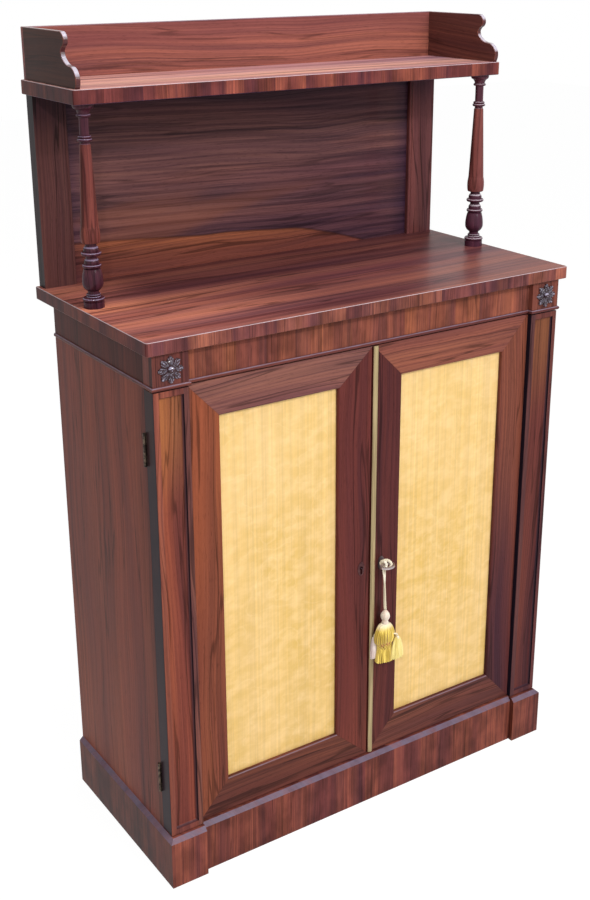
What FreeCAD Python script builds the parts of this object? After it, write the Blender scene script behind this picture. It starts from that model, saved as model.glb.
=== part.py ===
import FreeCAD, Part
import math
import os
import Sketcher

# A rosewood chiffonier: a two-door cupboard on a plinth, with a display shelf held over its top by
# two flat uprights behind and two turned columns in front, and a scrolled gallery round the shelf.
#
# Frame: +X to the right, -Y to the front, +Z up. The origin lies on the floor, half way between the
# two ends and half way between the rear edge of the top and the tip of the key.
# A "depth" is measured forwards from the rear edge of the top.

DIMENSIONS = [
    ("top_width", 772, "main top and display shelf, end to end"),
    ("top_depth", 370, "main top, rear edge to front edge"),
    ("top_height", 880, "floor to the upper face of the main top"),
    ("top_thickness", 20, "main top"),
    ("top_rounding", 4, "front corners of the top and of the shelf"),
    ("arris", 1.4, "softened edges of the top, the shelf and the gallery"),
    ("shelf_depth", 185, "display shelf, rear edge to front edge"),
    ("shelf_height", 1193, "floor to the upper face of the display shelf"),
    ("shelf_thickness", 21, "display shelf"),
    ("gallery_width", 763, "outer faces of the two gallery ends"),
    ("gallery_height", 75, "gallery above the shelf"),
    ("gallery_thickness", 7.5, "gallery boards"),
    ("gallery_reach", 181, "foot of a gallery end, from the rear edge of the shelf"),
    ("body_width", 750, "outer faces of the two sides"),
    ("body_depth", 362, "rear edge of the top to the front of a pilaster"),
    ("back_inset", 38, "how far the cupboard's back stands in from the rear edge of the top"),
    ("side_thickness", 18, "side panels and bottom board"),
    ("back_thickness", 9, "boards of the cupboard's back"),
    ("door_thickness", 18, "door frame"),
    ("pilaster_width", 56, "pilaster, frieze block"),
    ("pilaster_step", 9, "pilaster proud of the door frame"),
    ("pilaster_margin", 8.5, "flat border round a pilaster's sunk panel"),
    ("pilaster_sinking", 5, "depth of the sunk panel"),
    ("frieze_height", 53, "frieze, from under the top to the foot of its bead"),
    ("bead_height", 6, "half-round bead under the frieze"),
    ("bead_reach", 2.6, "how far the bead stands out"),
    ("plinth_height", 86, "floor to the ledge of the plinth"),
    ("plinth_step", 10, "plinth proud of the door front"),
    ("plinth_side_step", 6.5, "plinth proud of a side"),
    ("plinth_thickness", 20, "plinth boards"),
    ("plinth_bevel", 6.5, "bevel of the plinth's upper edge"),
    ("door_gap", 2, "clearance over, under and between the doors"),
    ("play", 0.4, "clearance between a door's back and the carcass"),
    ("panel_inner", 60, "centre line to the near edge of a silk panel"),
    ("panel_outer", 266.5, "centre line to the far edge of a silk panel"),
    ("panel_low", 145, "floor to the lower edge of a silk panel"),
    ("panel_high", 749.5, "floor to the upper edge of a silk panel"),
    ("rebate_width", 8, "rebate behind the door frame, across"),
    ("rebate_depth", 11, "rebate behind the door frame, front to back"),
    ("frame_rounding", 3, "rounded inner edge of the door frame"),
    ("silk_thickness", 1, "silk panel"),
    ("inner_shelf_height", 480, "floor to the shelf inside the cupboard"),
    ("inner_shelf_thickness", 16, "shelf inside the cupboard"),
    ("housing", 6, "groove that an end of the inner shelf sits in"),
    ("upright_width", 53, "flat upright of the superstructure"),
    ("upright_depth", 22, "flat upright, front to back"),
    ("upright_inset", 6.5, "upright in from the end of the top"),
    ("column_inset", 23, "column axis in from the end of the top"),
    ("column_depth", 162, "column axis forward of the rear edge of the top"),
    ("tenon_radius", 7, "round tenons of a column"),
    ("tenon_length", 12, "round tenons of a column"),
    ("hinge_length", 50, "butt hinge, along its knuckle"),
    ("hinge_leaf", 1.5, "thickness of a hinge leaf"),
    ("hinge_spread", 16, "leaf, in from the side face"),
    ("hinge_offset", 2.6, "hinge pin out from the side face"),
    ("knuckle_radius", 2.2, "hinge knuckle"),
    ("pin_radius", 1.1, "hinge pin"),
    ("hinge_low", 180, "floor to the middle of a lower hinge"),
    ("hinge_high", 716, "floor to the middle of an upper hinge"),
    ("meeting_x", 3, "line where the doors meet, right of the centre line"),
    ("key_x", 25, "keyhole of the right door, right of the centre line"),
    ("blind_keyhole_x", -14.7, "keyhole of the left door, right of the centre line"),
    ("key_height", 438, "floor to the axis of the key"),
    ("key_reach", 27.5, "key proud of the door frame"),
    ("bow_length", 20, "bow of the key, along its stem"),
    ("bow_width", 27, "bow of the key, across its stem"),
    ("stem_radius", 2.4, "stem of the key"),
    ("lock_width", 42, "case of the lock"),
    ("lock_height", 64, "case of the lock"),
    ("lock_thickness", 12, "case of the lock"),
    ("lock_wall", 1.6, "sheet of the lock case"),
    ("bolt_throw", 10, "travel of the lock's bolt"),
    ("rod_radius", 2.5, "rod of a surface bolt"),
    ("socket_radius", 4, "hole that a surface bolt shoots into"),
    ("rod_throw", 10, "travel of a surface bolt"),
    ("rod_x", 30, "surface bolts, left of the centre line"),
    ("tassel_depth", 14.2, "axis of the tassel, out from the door frame"),
    ("tassel_drop", 78.6, "axis of the key to the top of the tassel's head"),
    ("cord_radius", 2.6, "doubled cord of the tassel"),
    ("cord_start", 15, "axis of the key to the upper end of the hanging cord"),
]


class Size:
    """A length that carries its spreadsheet formula along with its present number."""

    def __init__(self, formula, number):
        self.formula = formula
        self.number = number

    def combined(self, sign, other, number):
        return Size(f"({self.formula} {sign} {size(other).formula})", number)

    def __add__(self, other):
        return self.combined("+", other, self.number + size(other).number)

    def __sub__(self, other):
        return self.combined("-", other, self.number - size(other).number)

    def __mul__(self, other):
        return self.combined("*", other, self.number * size(other).number)

    def __truediv__(self, other):
        return self.combined("/", other, self.number / size(other).number)

    def __radd__(self, other):
        return size(other) + self

    def __rsub__(self, other):
        return size(other) - self

    def __rmul__(self, other):
        return size(other) * self

    def __neg__(self):
        return size(0) - self


def size(value):
    if isinstance(value, Size):
        return value
    text = f"{value}" if value >= 0 else f"(0 - {-value})"
    return Size(text, float(value))


def root(value):
    return Size(f"sqrt({value.formula})", math.sqrt(value.number))


doc = FreeCAD.newDocument("chiffonier")
sheet = doc.addObject("Spreadsheet::Sheet", "Dimensions")


class Dimensions:
    """The driving dimensions, each one a Size that reads its own cell."""


d = Dimensions()
for row, (alias, value, note) in enumerate(DIMENSIONS, start=1):
    sheet.set(f"A{row}", alias)
    sheet.set(f"B{row}", str(value))
    sheet.setAlias(f"B{row}", alias)
    sheet.set(f"C{row}", note)
    setattr(d, alias, Size(f"Dimensions.{alias}", float(value)))
doc.recompute()


# ---- helpers: binding, boxes, rods, cuts ------------------------------------------------------

SUBPARTS = []
SIDES = (("left", -1), ("right", 1))


def bind(item, prop, value):
    item.setExpression(prop, size(value).formula)


def place(item, x, y, z):
    for axis, value in zip("xyz", (x, y, z)):
        bind(item, f"Placement.Base.{axis}", value)


def subpart(item, name):
    """Make the item a sub-part of its own: its Label names its file."""
    item.Label = name
    SUBPARTS.append(item)
    return item


def box(name, x, y, z):
    """A box over three (low, high) spans."""
    item = doc.addObject("Part::Box", name)
    for prop, (low, high) in zip(("Length", "Width", "Height"), (x, y, z)):
        bind(item, prop, high - low)
    place(item, x[0], y[0], z[0])
    return item


def rod(name, radius, start, axis, length):
    """A round bar from a point along an axis vector."""
    item = doc.addObject("Part::Cylinder", name)
    bind(item, "Radius", radius)
    bind(item, "Height", length)
    item.Placement.Rotation = FreeCAD.Rotation(FreeCAD.Vector(0, 0, 1), FreeCAD.Vector(*axis))
    place(item, *start)
    return item


def fused(name, pieces):
    item = doc.addObject("Part::MultiFuse", name)
    item.Shapes = pieces
    return item


def grouped(name, pieces):
    """Several separate solids under one name."""
    item = doc.addObject("Part::Compound", name)
    item.Links = pieces
    return item


def cut(name, base, tools):
    item = doc.addObject("Part::Cut", name)
    item.Base = base
    item.Tool = tools[0] if len(tools) == 1 else grouped(f"{name}_tools", tools)
    return item


def across(sign, near, far):
    """The X span from near to far, measured out from the centre line on one side."""
    near = size(near)
    far = size(far)
    return (near, far) if sign > 0 else (-far, -near)


# ---- helpers: bodies, sketches and features ---------------------------------------------------

def body(name, x=0, y=0, z=0):
    item = doc.addObject("PartDesign::Body", name)
    place(item, x, y, z)
    return item


def sketch(owner, name, plane):
    item = owner.newObject("Sketcher::SketchObject", name)
    origin = next(f for f in owner.Origin.OriginFeatures if f.Role == plane)
    item.AttachmentSupport = [(origin, "")]
    item.MapMode = "FlatFace"
    return item


def fix_point(item, geometry, end, x, y):
    """Tie one end of a sketch line or arc to a place, measured from the sketch's origin."""
    for kind, value in (("DistanceX", size(x)), ("DistanceY", size(y))):
        index = item.addConstraint(Sketcher.Constraint(kind, -1, 1, geometry, end, value.number))
        if "Dimensions" in value.formula:
            item.setExpression(f"Constraints[{index}]", value.formula)


def arc_between(start, end, radius):
    """The short arc of that radius; a positive radius turns counter-clockwise from start to end."""
    chord = end - start
    half = chord.Length / 2
    rise = math.sqrt(max(radius * radius - half * half, 0.0))
    across_chord = FreeCAD.Vector(-chord.y, chord.x, 0).normalize()
    centre = (start + end) / 2 + across_chord * (rise if radius > 0 else -rise)
    first, last = (start, end) if radius > 0 else (end, start)
    angles = [math.atan2(p.y - centre.y, p.x - centre.x) for p in (first, last)]
    circle = Part.Circle(centre, FreeCAD.Vector(0, 0, 1), abs(radius))
    return Part.ArcOfCircle(circle, angles[0], angles[1])


def outline(item, steps, closed=True):
    """Draw a chain of lines and arcs; a step is (x, y), or (x, y, radius) for an arc to there."""
    points = [FreeCAD.Vector(size(s[0]).number, size(s[1]).number, 0) for s in steps]
    ends = []
    count = len(steps) if closed else len(steps) - 1
    for n in range(count):
        following = (n + 1) % len(steps)
        step = steps[following]
        start = points[n]
        end = points[following]
        if len(step) == 2:
            geometry = item.addGeometry(Part.LineSegment(start, end), False)
            ends.append((geometry, 1, 2))
        else:
            radius = size(step[2])
            geometry = item.addGeometry(arc_between(start, end, radius.number), False)
            ends.append((geometry, 1, 2) if radius.number > 0 else (geometry, 2, 1))
    for n, (geometry, first, last) in enumerate(ends):
        if n + 1 < len(ends) or closed:
            other = ends[(n + 1) % len(ends)]
            item.addConstraint(Sketcher.Constraint("Coincident", geometry, last, other[0], other[1]))
        fix_point(item, geometry, first, steps[n][0], steps[n][1])
    if not closed:
        geometry, _, last = ends[-1]
        fix_point(item, geometry, last, steps[-1][0], steps[-1][1])
    for (geometry, _, _), step in zip(ends, steps[1:] + steps[:1]):
        if len(step) == 3:
            radius = size(step[2])
            if radius.number < 0:
                radius = -radius
            index = item.addConstraint(Sketcher.Constraint("Radius", geometry, radius.number))
            if "Dimensions" in radius.formula:
                item.setExpression(f"Constraints[{index}]", radius.formula)


def oval(item, x, y, half_long, half_short, upright=False):
    """An oval of two end arcs and two side arcs that run smoothly into each other."""
    long_side, short_side = size(half_long), size(half_short)
    end_radius = short_side * 0.65
    reach = long_side - end_radius
    spare = short_side - end_radius
    sink = (reach * reach - spare * spare) / (spare * 2)
    span = root(reach * reach + sink * sink)
    along = reach + end_radius * reach / span
    aside = end_radius * sink / span
    side_radius = short_side + sink
    corners = [(along, -aside, side_radius), (along, aside, end_radius),
               (-along, aside, side_radius), (-along, -aside, end_radius)]
    if upright:
        corners = [(-v, u, radius) for u, v, radius in corners]
    outline(item, [(u + x, v + y, radius) for u, v, radius in corners])


def rectangle(item, x, y):
    outline(item, [(x[0], y[0]), (x[1], y[0]), (x[1], y[1]), (x[0], y[1])])


def add_loop(item, first, corners):
    """One more closed loop of straight lines in a sketch that already has some."""
    points = [FreeCAD.Vector(size(x).number, size(y).number, 0) for x, y in corners]
    count = len(points)
    for n in range(count):
        item.addGeometry(Part.LineSegment(points[n], points[(n + 1) % count]), False)
    for n, (x, y) in enumerate(corners):
        following = first + (n + 1) % count
        item.addConstraint(Sketcher.Constraint("Coincident", first + n, 2, following, 1))
        fix_point(item, first + n, 1, x, y)


def pad(owner, name, profile, length, reverse=False):
    item = owner.newObject("PartDesign::Pad", name)
    item.Profile = profile
    item.Reversed = reverse
    bind(item, "Length", length)
    profile.Visibility = False
    return item


def pocket(owner, name, profile, length, reverse=False):
    """A pocket; it stops the build if it points away from the solid and cuts nothing."""
    doc.recompute()
    before = owner.Shape.Volume
    item = owner.newObject("PartDesign::Pocket", name)
    item.Profile = profile
    item.Reversed = reverse
    bind(item, "Length", length)
    doc.recompute()
    if not owner.Shape.Volume < before - 1e-3:
        raise RuntimeError(f"{owner.Name}: {name} cuts nothing")
    return item


def turned(owner, name, profile):
    """The profile turned round the sketch's upright axis."""
    item = owner.newObject("PartDesign::Revolution", name)
    item.Profile = profile
    item.ReferenceAxis = (profile, ["V_Axis"])
    item.Angle = 360
    return item


def all_round(owner, name, feature, profile, count):
    """The feature repeated round the upright axis of a profile."""
    item = owner.newObject("PartDesign::PolarPattern", name)
    item.Originals = [feature]
    item.Axis = (profile, ["V_Axis"])
    item.Angle = 360
    item.Occurrences = count
    owner.Tip = item
    return item


def edges_where(shape, test):
    """Names of the edges whose middle point passes the test."""
    names = []
    for number, edge in enumerate(shape.Edges, start=1):
        middle = edge.valueAt((edge.FirstParameter + edge.LastParameter) / 2)
        if test(middle, edge):
            names.append(f"Edge{number}")
    return names


def dress(owner, kind, name, amount, test):
    """A PartDesign Fillet or Chamfer on the edges that pass the test, in the body's own frame."""
    doc.recompute()
    last = owner.Tip
    names = edges_where(last.Shape, test)
    if not names:
        raise RuntimeError(f"{owner.Name}: {name} finds no edge")
    item = owner.newObject(f"PartDesign::{kind}", name)
    item.Base = (last, names)
    bind(item, "Radius" if kind == "Fillet" else "Size", amount)
    return item


def near(a, b):
    return abs(a - size(b).number) < 0.01


# ---- lines that several pieces share ----------------------------------------------------------

door_face = d.body_depth - d.pilaster_step
door_back = door_face - d.door_thickness
carcass_front = door_back - d.play
whole_depth = door_face + d.key_reach

half_body = d.body_width / 2
half_top = d.top_width / 2
top_under = d.top_height - d.top_thickness
shelf_under = d.shelf_height - d.shelf_thickness
frieze_foot = top_under - d.frieze_height
door_top = frieze_foot - d.door_gap
door_bottom = d.plinth_height + d.door_gap
left_edge = d.meeting_x - d.door_gap / 2
right_edge = d.meeting_x + d.door_gap / 2
door_edges = {-1: -left_edge, 1: right_edge}  # measured out from the centre line on each side
pilaster_in = half_body - d.pilaster_width
hinge_axis = half_body + d.hinge_offset
hinge_depth = door_back - d.play / 2


def at(depth):
    """The Y of a depth."""
    return whole_depth / 2 - depth


def deep(back, front):
    """The Y span between two depths."""
    return (at(front), at(back))


# ---- the carcass ------------------------------------------------------------------------------

carcass_high = (d.plinth_height, top_under)
inside = half_body - d.side_thickness
back_front = d.back_inset + d.back_thickness
back_half = half_body - d.side_thickness / 2
hinge_heights = (("lower", d.hinge_low), ("upper", d.hinge_high))


def hinge_span(height):
    return (height - d.hinge_length / 2, height + d.hinge_length / 2)


def side_panel(side, sign):
    name = f"side_panel_{side}"
    board = box(f"{name}_board", across(sign, inside, half_body), deep(d.back_inset, carcass_front),
                carcass_high)
    rebate = box(f"{name}_rebate", across(sign, inside, back_half), deep(d.back_inset, back_front),
                 carcass_high)
    groove = box(f"{name}_housing", across(sign, inside, inside + d.housing),
                 deep(back_front, inner_shelf_front),
                 (d.inner_shelf_height, d.inner_shelf_height + d.inner_shelf_thickness))
    tools = [rebate, groove]
    for level, height in hinge_heights:
        tools.append(box(f"{name}_{level}_hinge_bed",
                         across(sign, half_body - d.hinge_spread, half_body),
                         deep(carcass_front - d.hinge_leaf, carcass_front), hinge_span(height)))
    subpart(cut(name, board, tools), name)


def back_boards(count=5, joint=0.6):
    width = (back_half * 2 - joint * (count - 1)) / count
    boards = []
    for n in range(count):
        left = -back_half + (width + joint) * n
        boards.append(box(f"back_board_{n + 1}", (left, left + width),
                          deep(d.back_inset, back_front), carcass_high))
    subpart(grouped("back_boards", boards), "back_boards")


def bolt_socket(name, low, high):
    """The hole that a surface bolt shoots into."""
    return rod(name, d.socket_radius, (-d.rod_x, at(rod_depth), low), (0, 0, 1), high - low)


inner_shelf_front = carcass_front - 20
rod_depth = door_back - 6
rail_foot = door_top - 30
rail_thickness = 22
board_top = d.plinth_height + d.side_thickness

for side, sign in SIDES:
    side_panel(side, sign)
back_boards()

bottom = box("bottom_board_blank", (-inside, inside), deep(back_front, carcass_front),
             (d.plinth_height, board_top))
socket_depth = d.rod_throw + 3  # a little deeper than the rod goes
subpart(cut("bottom_board", bottom,
            [bolt_socket("bottom_socket", board_top - socket_depth, board_top)]), "bottom_board")

shelf_reach = inside + d.housing
subpart(box("inner_shelf", (-shelf_reach, shelf_reach), deep(back_front, inner_shelf_front),
            (d.inner_shelf_height, d.inner_shelf_height + d.inner_shelf_thickness)), "inner_shelf")

rail = box("top_rail_blank", (-inside, inside), deep(carcass_front - rail_thickness, carcass_front),
           (rail_foot, top_under))
subpart(cut("top_rail", rail, [bolt_socket("top_socket", rail_foot, rail_foot + socket_depth)]),
        "top_rail")


# ---- frieze: rail, blocks, carved pateras and the bead that breaks round the blocks --------------

subpart(box("frieze_rail", (-half_body, half_body), deep(carcass_front, door_face),
            (frieze_foot, top_under)), "frieze_rail")

block_axis = half_body - d.pilaster_width / 2
block_middle = (frieze_foot + d.bead_height + top_under) / 2 - 1.5  # clear of the top's overhang


def patera(side, sign, leaves=8, radius=19.6, height=5.8):
    """A carved rosette: a ring of leaves, hollowed and veined with a gouge, round an eyed button."""
    name = f"patera_{side}"
    item = body(name, sign * block_axis, at(d.body_depth), block_middle)
    button = 4.6
    disc = sketch(item, f"{name}_disc_profile", "XY_Plane")
    outline(disc, [(0, 0), (radius - 5, 0), (radius - 5, -1.4), (0, -1.4)])
    turned(item, f"{name}_disc", disc)

    leaf = sketch(item, f"{name}_leaf_outline", "XZ_Plane")
    widest = radius - 8
    outline(leaf, [(-1.5, 3), (1.5, 3), (4.2, widest), (3.2, radius - 2.8, 5), (0, radius, 4.4),
                   (-3.2, radius - 2.8, 4.4), (-4.2, widest, 5)])
    leaf_pad = pad(item, f"{name}_leaf", leaf, height)
    all_round(item, f"{name}_leaf_ring", leaf_pad, disc, leaves)

    hollow = sketch(item, f"{name}_hollow_profile", "XY_Plane")
    outline(hollow, [(0, -2.2), (button + 1, -2.2), (widest, -3.2, 16), (radius - 1, -2.4, -7),
                     (radius + 1, -1), (radius + 1, -height - 1), (0, -height - 1)])
    scoop = item.newObject("PartDesign::Groove", f"{name}_hollow")
    scoop.Profile = hollow
    scoop.ReferenceAxis = (hollow, ["V_Axis"])
    scoop.Angle = 360

    vein = sketch(item, f"{name}_vein_outline", "XZ_Plane")
    outline(vein, [(0, button + 2), (0.55, widest), (0, radius - 2), (-0.55, widest)])
    vein.AttachmentOffset.Base.z = height
    bind(vein, "AttachmentOffset.Base.z", height)
    vein_cut = pocket(item, f"{name}_vein", vein, height - 1.8)
    all_round(item, f"{name}_veins", vein_cut, disc, leaves)

    eye = sketch(item, f"{name}_button_profile", "XY_Plane")
    outline(eye, [(0, -1), (button, -1), (button, -3.4), (1.8, -height, -3.2), (1.1, -height),
                  (0, -height + 1.2)])
    turned(item, f"{name}_button", eye)
    subpart(item, name)


for side, sign in SIDES:
    subpart(box(f"frieze_block_{side}", across(sign, pilaster_in, half_body),
                deep(door_face, d.body_depth), (frieze_foot, top_under)), f"frieze_block_{side}")
    patera(side, sign)


def frieze_bead():
    """One half-round section swept round three sides, with a mitre at every corner."""
    item = body("frieze_bead", -half_body, at(d.back_inset), frieze_foot + d.bead_height / 2)
    run = sketch(item, "frieze_bead_run", "XY_Plane")
    front = -(d.body_depth - d.back_inset)
    recess = front + d.pilaster_step
    width = d.pilaster_width
    outline(run, [(0, 0), (0, front), (width, front), (width, recess),
                  (d.body_width - width, recess), (d.body_width - width, front),
                  (d.body_width, front), (d.body_width, 0)], closed=False)
    section = sketch(item, "frieze_bead_section", "XZ_Plane")
    half = d.bead_height / 2
    outline(section, [(0, -half, d.bead_reach * 1.01), (0, half), (-d.bead_reach, 0, d.bead_reach * 1.01)])
    sweep = item.newObject("PartDesign::AdditivePipe", "frieze_bead_sweep")
    sweep.Profile = section
    sweep.Spine = run
    sweep.Transition = "Right corner"
    sweep.Mode = "Standard"
    subpart(item, "frieze_bead")


frieze_bead()


# ---- main top, with the sockets of the columns --------------------------------------------------

column_x = half_top - d.column_inset


def slab(name, depth, top, thickness, socket_from, socket_to):
    """A flat board with rounded front corners and softened front edges, and two round sockets."""
    item = body(name, 0, at(0), top - thickness)
    plan = sketch(item, f"{name}_plan", "XY_Plane")
    rectangle(plan, (-half_top, half_top), (-depth, 0))
    pad(item, f"{name}_board", plan, thickness)
    width = half_top.number
    front = -size(depth).number
    dress(item, "Fillet", f"{name}_corners", d.top_rounding,
          lambda m, e: near(abs(m.x), width) and near(m.y, front) and e.Length < 30)
    thick = size(thickness).number
    dress(item, "Fillet", f"{name}_arris", d.arris,
          lambda m, e: (near(m.z, thick) or near(m.z, 0)) and (m.y < front + 5 or abs(m.x) > width - 5))
    holes = sketch(item, f"{name}_sockets_plan", "XY_Plane")
    for sign in (-1, 1):
        ring = Part.Circle(FreeCAD.Vector(sign * column_x.number, -d.column_depth.number, 0),
                           FreeCAD.Vector(0, 0, 1), d.tenon_radius.number)
        geometry = holes.addGeometry(ring, False)
        fix_point(holes, geometry, 3, sign * column_x, -d.column_depth)
        index = holes.addConstraint(Sketcher.Constraint("Radius", geometry, d.tenon_radius.number))
        bind(holes, f"Constraints[{index}]", d.tenon_radius)
    if size(socket_from).number > 0:
        holes.AttachmentOffset.Base.z = 0
        bind(holes, "AttachmentOffset.Base.z", socket_from)
    pocket(item, f"{name}_sockets", holes, socket_to - size(socket_from), reverse=True)
    subpart(item, name)


slab("main_top", d.top_depth, d.top_height, d.top_thickness,
     d.top_thickness - d.tenon_length, d.top_thickness)


# ---- plinth: a bevelled front between two blocks, sides, back and glue blocks --------------------

plinth_face = d.body_depth + d.plinth_step
plinth_recess = plinth_face - d.pilaster_step
plinth_half = half_body + d.plinth_side_step
plinth_back = d.back_inset
plinth_rear_face = plinth_back + d.plinth_thickness
plinth_front_back = plinth_recess - d.plinth_thickness
plinth_inside = plinth_half - d.plinth_thickness


def bevelled(name, x, y, test):
    """A plinth board with its upper outer edges bevelled."""
    item = body(name, x[0], y[0], 0)
    plan = sketch(item, f"{name}_plan", "XY_Plane")
    rectangle(plan, (0, x[1] - x[0]), (0, y[1] - y[0]))
    pad(item, f"{name}_board", plan, d.plinth_height)
    high = d.plinth_height.number
    dress(item, "Chamfer", f"{name}_bevel", d.plinth_bevel, lambda m, e: near(m.z, high) and test(m))
    subpart(item, name)


bevelled("plinth_front", (-pilaster_in, pilaster_in), deep(plinth_front_back, plinth_recess),
         lambda m: near(m.y, 0))
for side, sign in SIDES:
    outer = 0 if sign < 0 else (plinth_half - pilaster_in).number
    bevelled(f"plinth_block_{side}", across(sign, pilaster_in, plinth_half),
             deep(plinth_front_back, plinth_face),
             lambda m, outer=outer: near(m.y, 0) or near(m.x, outer))
    outer = 0 if sign < 0 else d.plinth_thickness.number
    bevelled(f"plinth_side_{side}", across(sign, plinth_inside, plinth_half),
             deep(plinth_back, plinth_front_back), lambda m, outer=outer: near(m.x, outer))
subpart(box("plinth_back", (-plinth_inside, plinth_inside), deep(plinth_back, plinth_rear_face),
            (size(0), d.plinth_height)), "plinth_back")

glue_blocks = []
for side, sign in SIDES:
    for corner, near_depth, far_depth in (("rear", plinth_rear_face, plinth_rear_face + 30),
                                          ("front", plinth_front_back - 30, plinth_front_back)):
        glue_blocks.append(box(f"glue_block_{corner}_{side}",
                               across(sign, plinth_inside - 30, plinth_inside),
                               deep(near_depth, far_depth), (size(8), d.plinth_height)))
subpart(grouped("plinth_glue_blocks", glue_blocks), "plinth_glue_blocks")


# ---- superstructure: uprights, back panel, shelf, gallery, columns -------------------------------

upright_out = half_top - d.upright_inset
upright_in = upright_out - d.upright_width
panel_groove = 8
groove_depths = (6, 14)


def upright(side, sign):
    """A flat board with a bead run down its inner edge and a groove for the back panel."""
    name = f"upright_{side}"
    item = body(name, sign * upright_in, at(0), d.top_height)
    plan = sketch(item, f"{name}_plan", "XY_Plane")
    front = -d.upright_depth
    bead = 2.5
    steps = [(0, 0), (d.upright_width, 0), (d.upright_width, front), (2 * bead + 1, front),
             (2 * bead, front + 1), (bead, front, 1.005 * bead), (0, front + bead, 1.005 * bead),
             (0, -groove_depths[1]), (panel_groove, -groove_depths[1]),
             (panel_groove, -groove_depths[0]), (0, -groove_depths[0])]
    if sign > 0:
        outline(plan, [s if len(s) == 2 else (s[0], s[1], -s[2]) for s in steps])
    else:
        outline(plan, [(-s[0], *s[1:]) for s in steps])
    pad(item, f"{name}_board", plan, shelf_under - d.top_height)
    subpart(item, name)


for side, sign in SIDES:
    upright(side, sign)
subpart(box("back_panel", (-(upright_in + panel_groove), upright_in + panel_groove),
            deep(*groove_depths), (d.top_height, shelf_under)), "back_panel")
slab("display_shelf", d.shelf_depth, d.shelf_height, d.shelf_thickness, 0, d.tenon_length)

gallery_out = d.gallery_width / 2
gallery_in = gallery_out - d.gallery_thickness
gallery_rear = 2


def gallery_back():
    item = body("gallery_back", 0, at(gallery_rear), d.shelf_height)
    plan = sketch(item, "gallery_back_plan", "XY_Plane")
    rectangle(plan, (-gallery_out, gallery_out), (-d.gallery_thickness, 0))
    pad(item, "gallery_back_board", plan, d.gallery_height)
    dress(item, "Fillet", "gallery_back_arris", d.arris,
          lambda m, e: near(m.z, d.gallery_height) and e.Length > d.gallery_thickness.number * 2)
    subpart(item, "gallery_back")


def gallery_end(side, sign):
    """A fret-sawn end: a level top, a rounded nose, a cove under it and an ogee down to the shelf."""
    name = f"gallery_end_{side}"
    start = -gallery_in if sign < 0 else gallery_out
    item = body(name, start, at(0), d.shelf_height)
    face = sketch(item, f"{name}_outline", "YZ_Plane")
    rear = -(gallery_rear + d.gallery_thickness)
    high = d.gallery_height
    reach = -d.gallery_reach
    steps = [(rear, 0), (rear, high), (-139, high), (-151, high - 10, 13.5), (-146, high - 20, 9),
             (-139, high - 27, -13), (-146, high - 38, -12), (-164, high - 45, -30),
             (reach - 3, high - 58, 21), (reach, 0, 19)]
    outline(face, steps)
    pad(item, f"{name}_board", face, d.gallery_thickness, reverse=True)
    dress(item, "Chamfer", f"{name}_arris", d.arris / 2,
          lambda m, e: m.z > 1 and (near(m.x, 0) or near(m.x, -d.gallery_thickness.number))
          and not near(m.y, rear.number))
    subpart(item, name)


gallery_back()
for side, sign in SIDES:
    gallery_end(side, sign)


def column(side, sign):
    """A turned column, read from its foot: plinth drum, rings, vase, two beads, shaft, capital."""
    name = f"column_{side}"
    item = body(name, sign * column_x, at(d.column_depth), d.top_height)
    profile = sketch(item, f"{name}_profile", "XZ_Plane")
    tall = shelf_under - d.top_height
    pin = d.tenon_radius
    neck = 8.2
    steps = [
        (0, -d.tenon_length), (pin, -d.tenon_length), (pin, 0), (15.2, 0),
        (15.2, 9), (14, 9.8), (14.6, 10.2), (14.6, 15.2, 3), (13, 15.6), (9.6, 17.4, -3),
        (9.6, 21, 2.2), (neck, 21.8), (neck, 25, -6), (10.4, 26.6), (15.4, 37.5, 13.5),
        (12.4, 57.6, 71), (10.4, 58.8), (12.6, 59.8), (12.6, 64.6, 2.9), (10.6, 65.4),
        (neck, 73, 7.4), (neck, 75.4), (11.6, 77.2, -3), (13.3, 77.6), (13.3, 82.6, 2.9),
        (11, 83.4), (neck, 91.4, 7.6), (neck, 94), (12.2, 95.2, -4), (13.5, 96.2), (12.9, 120, 60),
        (7.9, tall - 57), (6.9, tall - 55.6), (6.9, tall - 52.8), (9.9, tall - 52),
        (9.9, tall - 48.4, 2.4), (8.6, tall - 48), (8.8, tall - 44.6, 2.2), (6.8, tall - 43.6),
        (6.8, tall - 19.4), (9.4, tall - 18.4, -2), (9.4, tall - 14.6, 2.3), (8.4, tall - 14),
        (13, tall - 7, -9), (13.8, tall - 6.6), (15.2, tall - 1.4, 7), (15.2, tall), (pin, tall),
        (pin, tall + d.tenon_length), (0, tall + d.tenon_length),
    ]
    outline(profile, steps)
    turned(item, f"{name}_turning", profile)
    subpart(item, name)


for side, sign in SIDES:
    column(side, sign)


# ---- butt hinges ------------------------------------------------------------------------------

leaf_gap = 0.3
middle_knuckle = d.hinge_length / 3


def knuckle(name, sign, low, high, fixed):
    """One barrel of a hinge with the strap that joins it to its leaf."""
    barrel = rod(f"{name}_barrel", d.knuckle_radius, (sign * hinge_axis, at(hinge_depth), low),
                 (0, 0, 1), high - low)
    plate = hinge_leaf_depth(fixed)
    strap = box(f"{name}_strap", across(sign, half_body, hinge_axis), plate, (low, high))
    return [barrel, strap]


def hinge_leaf_depth(fixed):
    if fixed:
        return deep(carcass_front - d.hinge_leaf, carcass_front)
    return deep(door_back, door_back + d.hinge_leaf)


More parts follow.
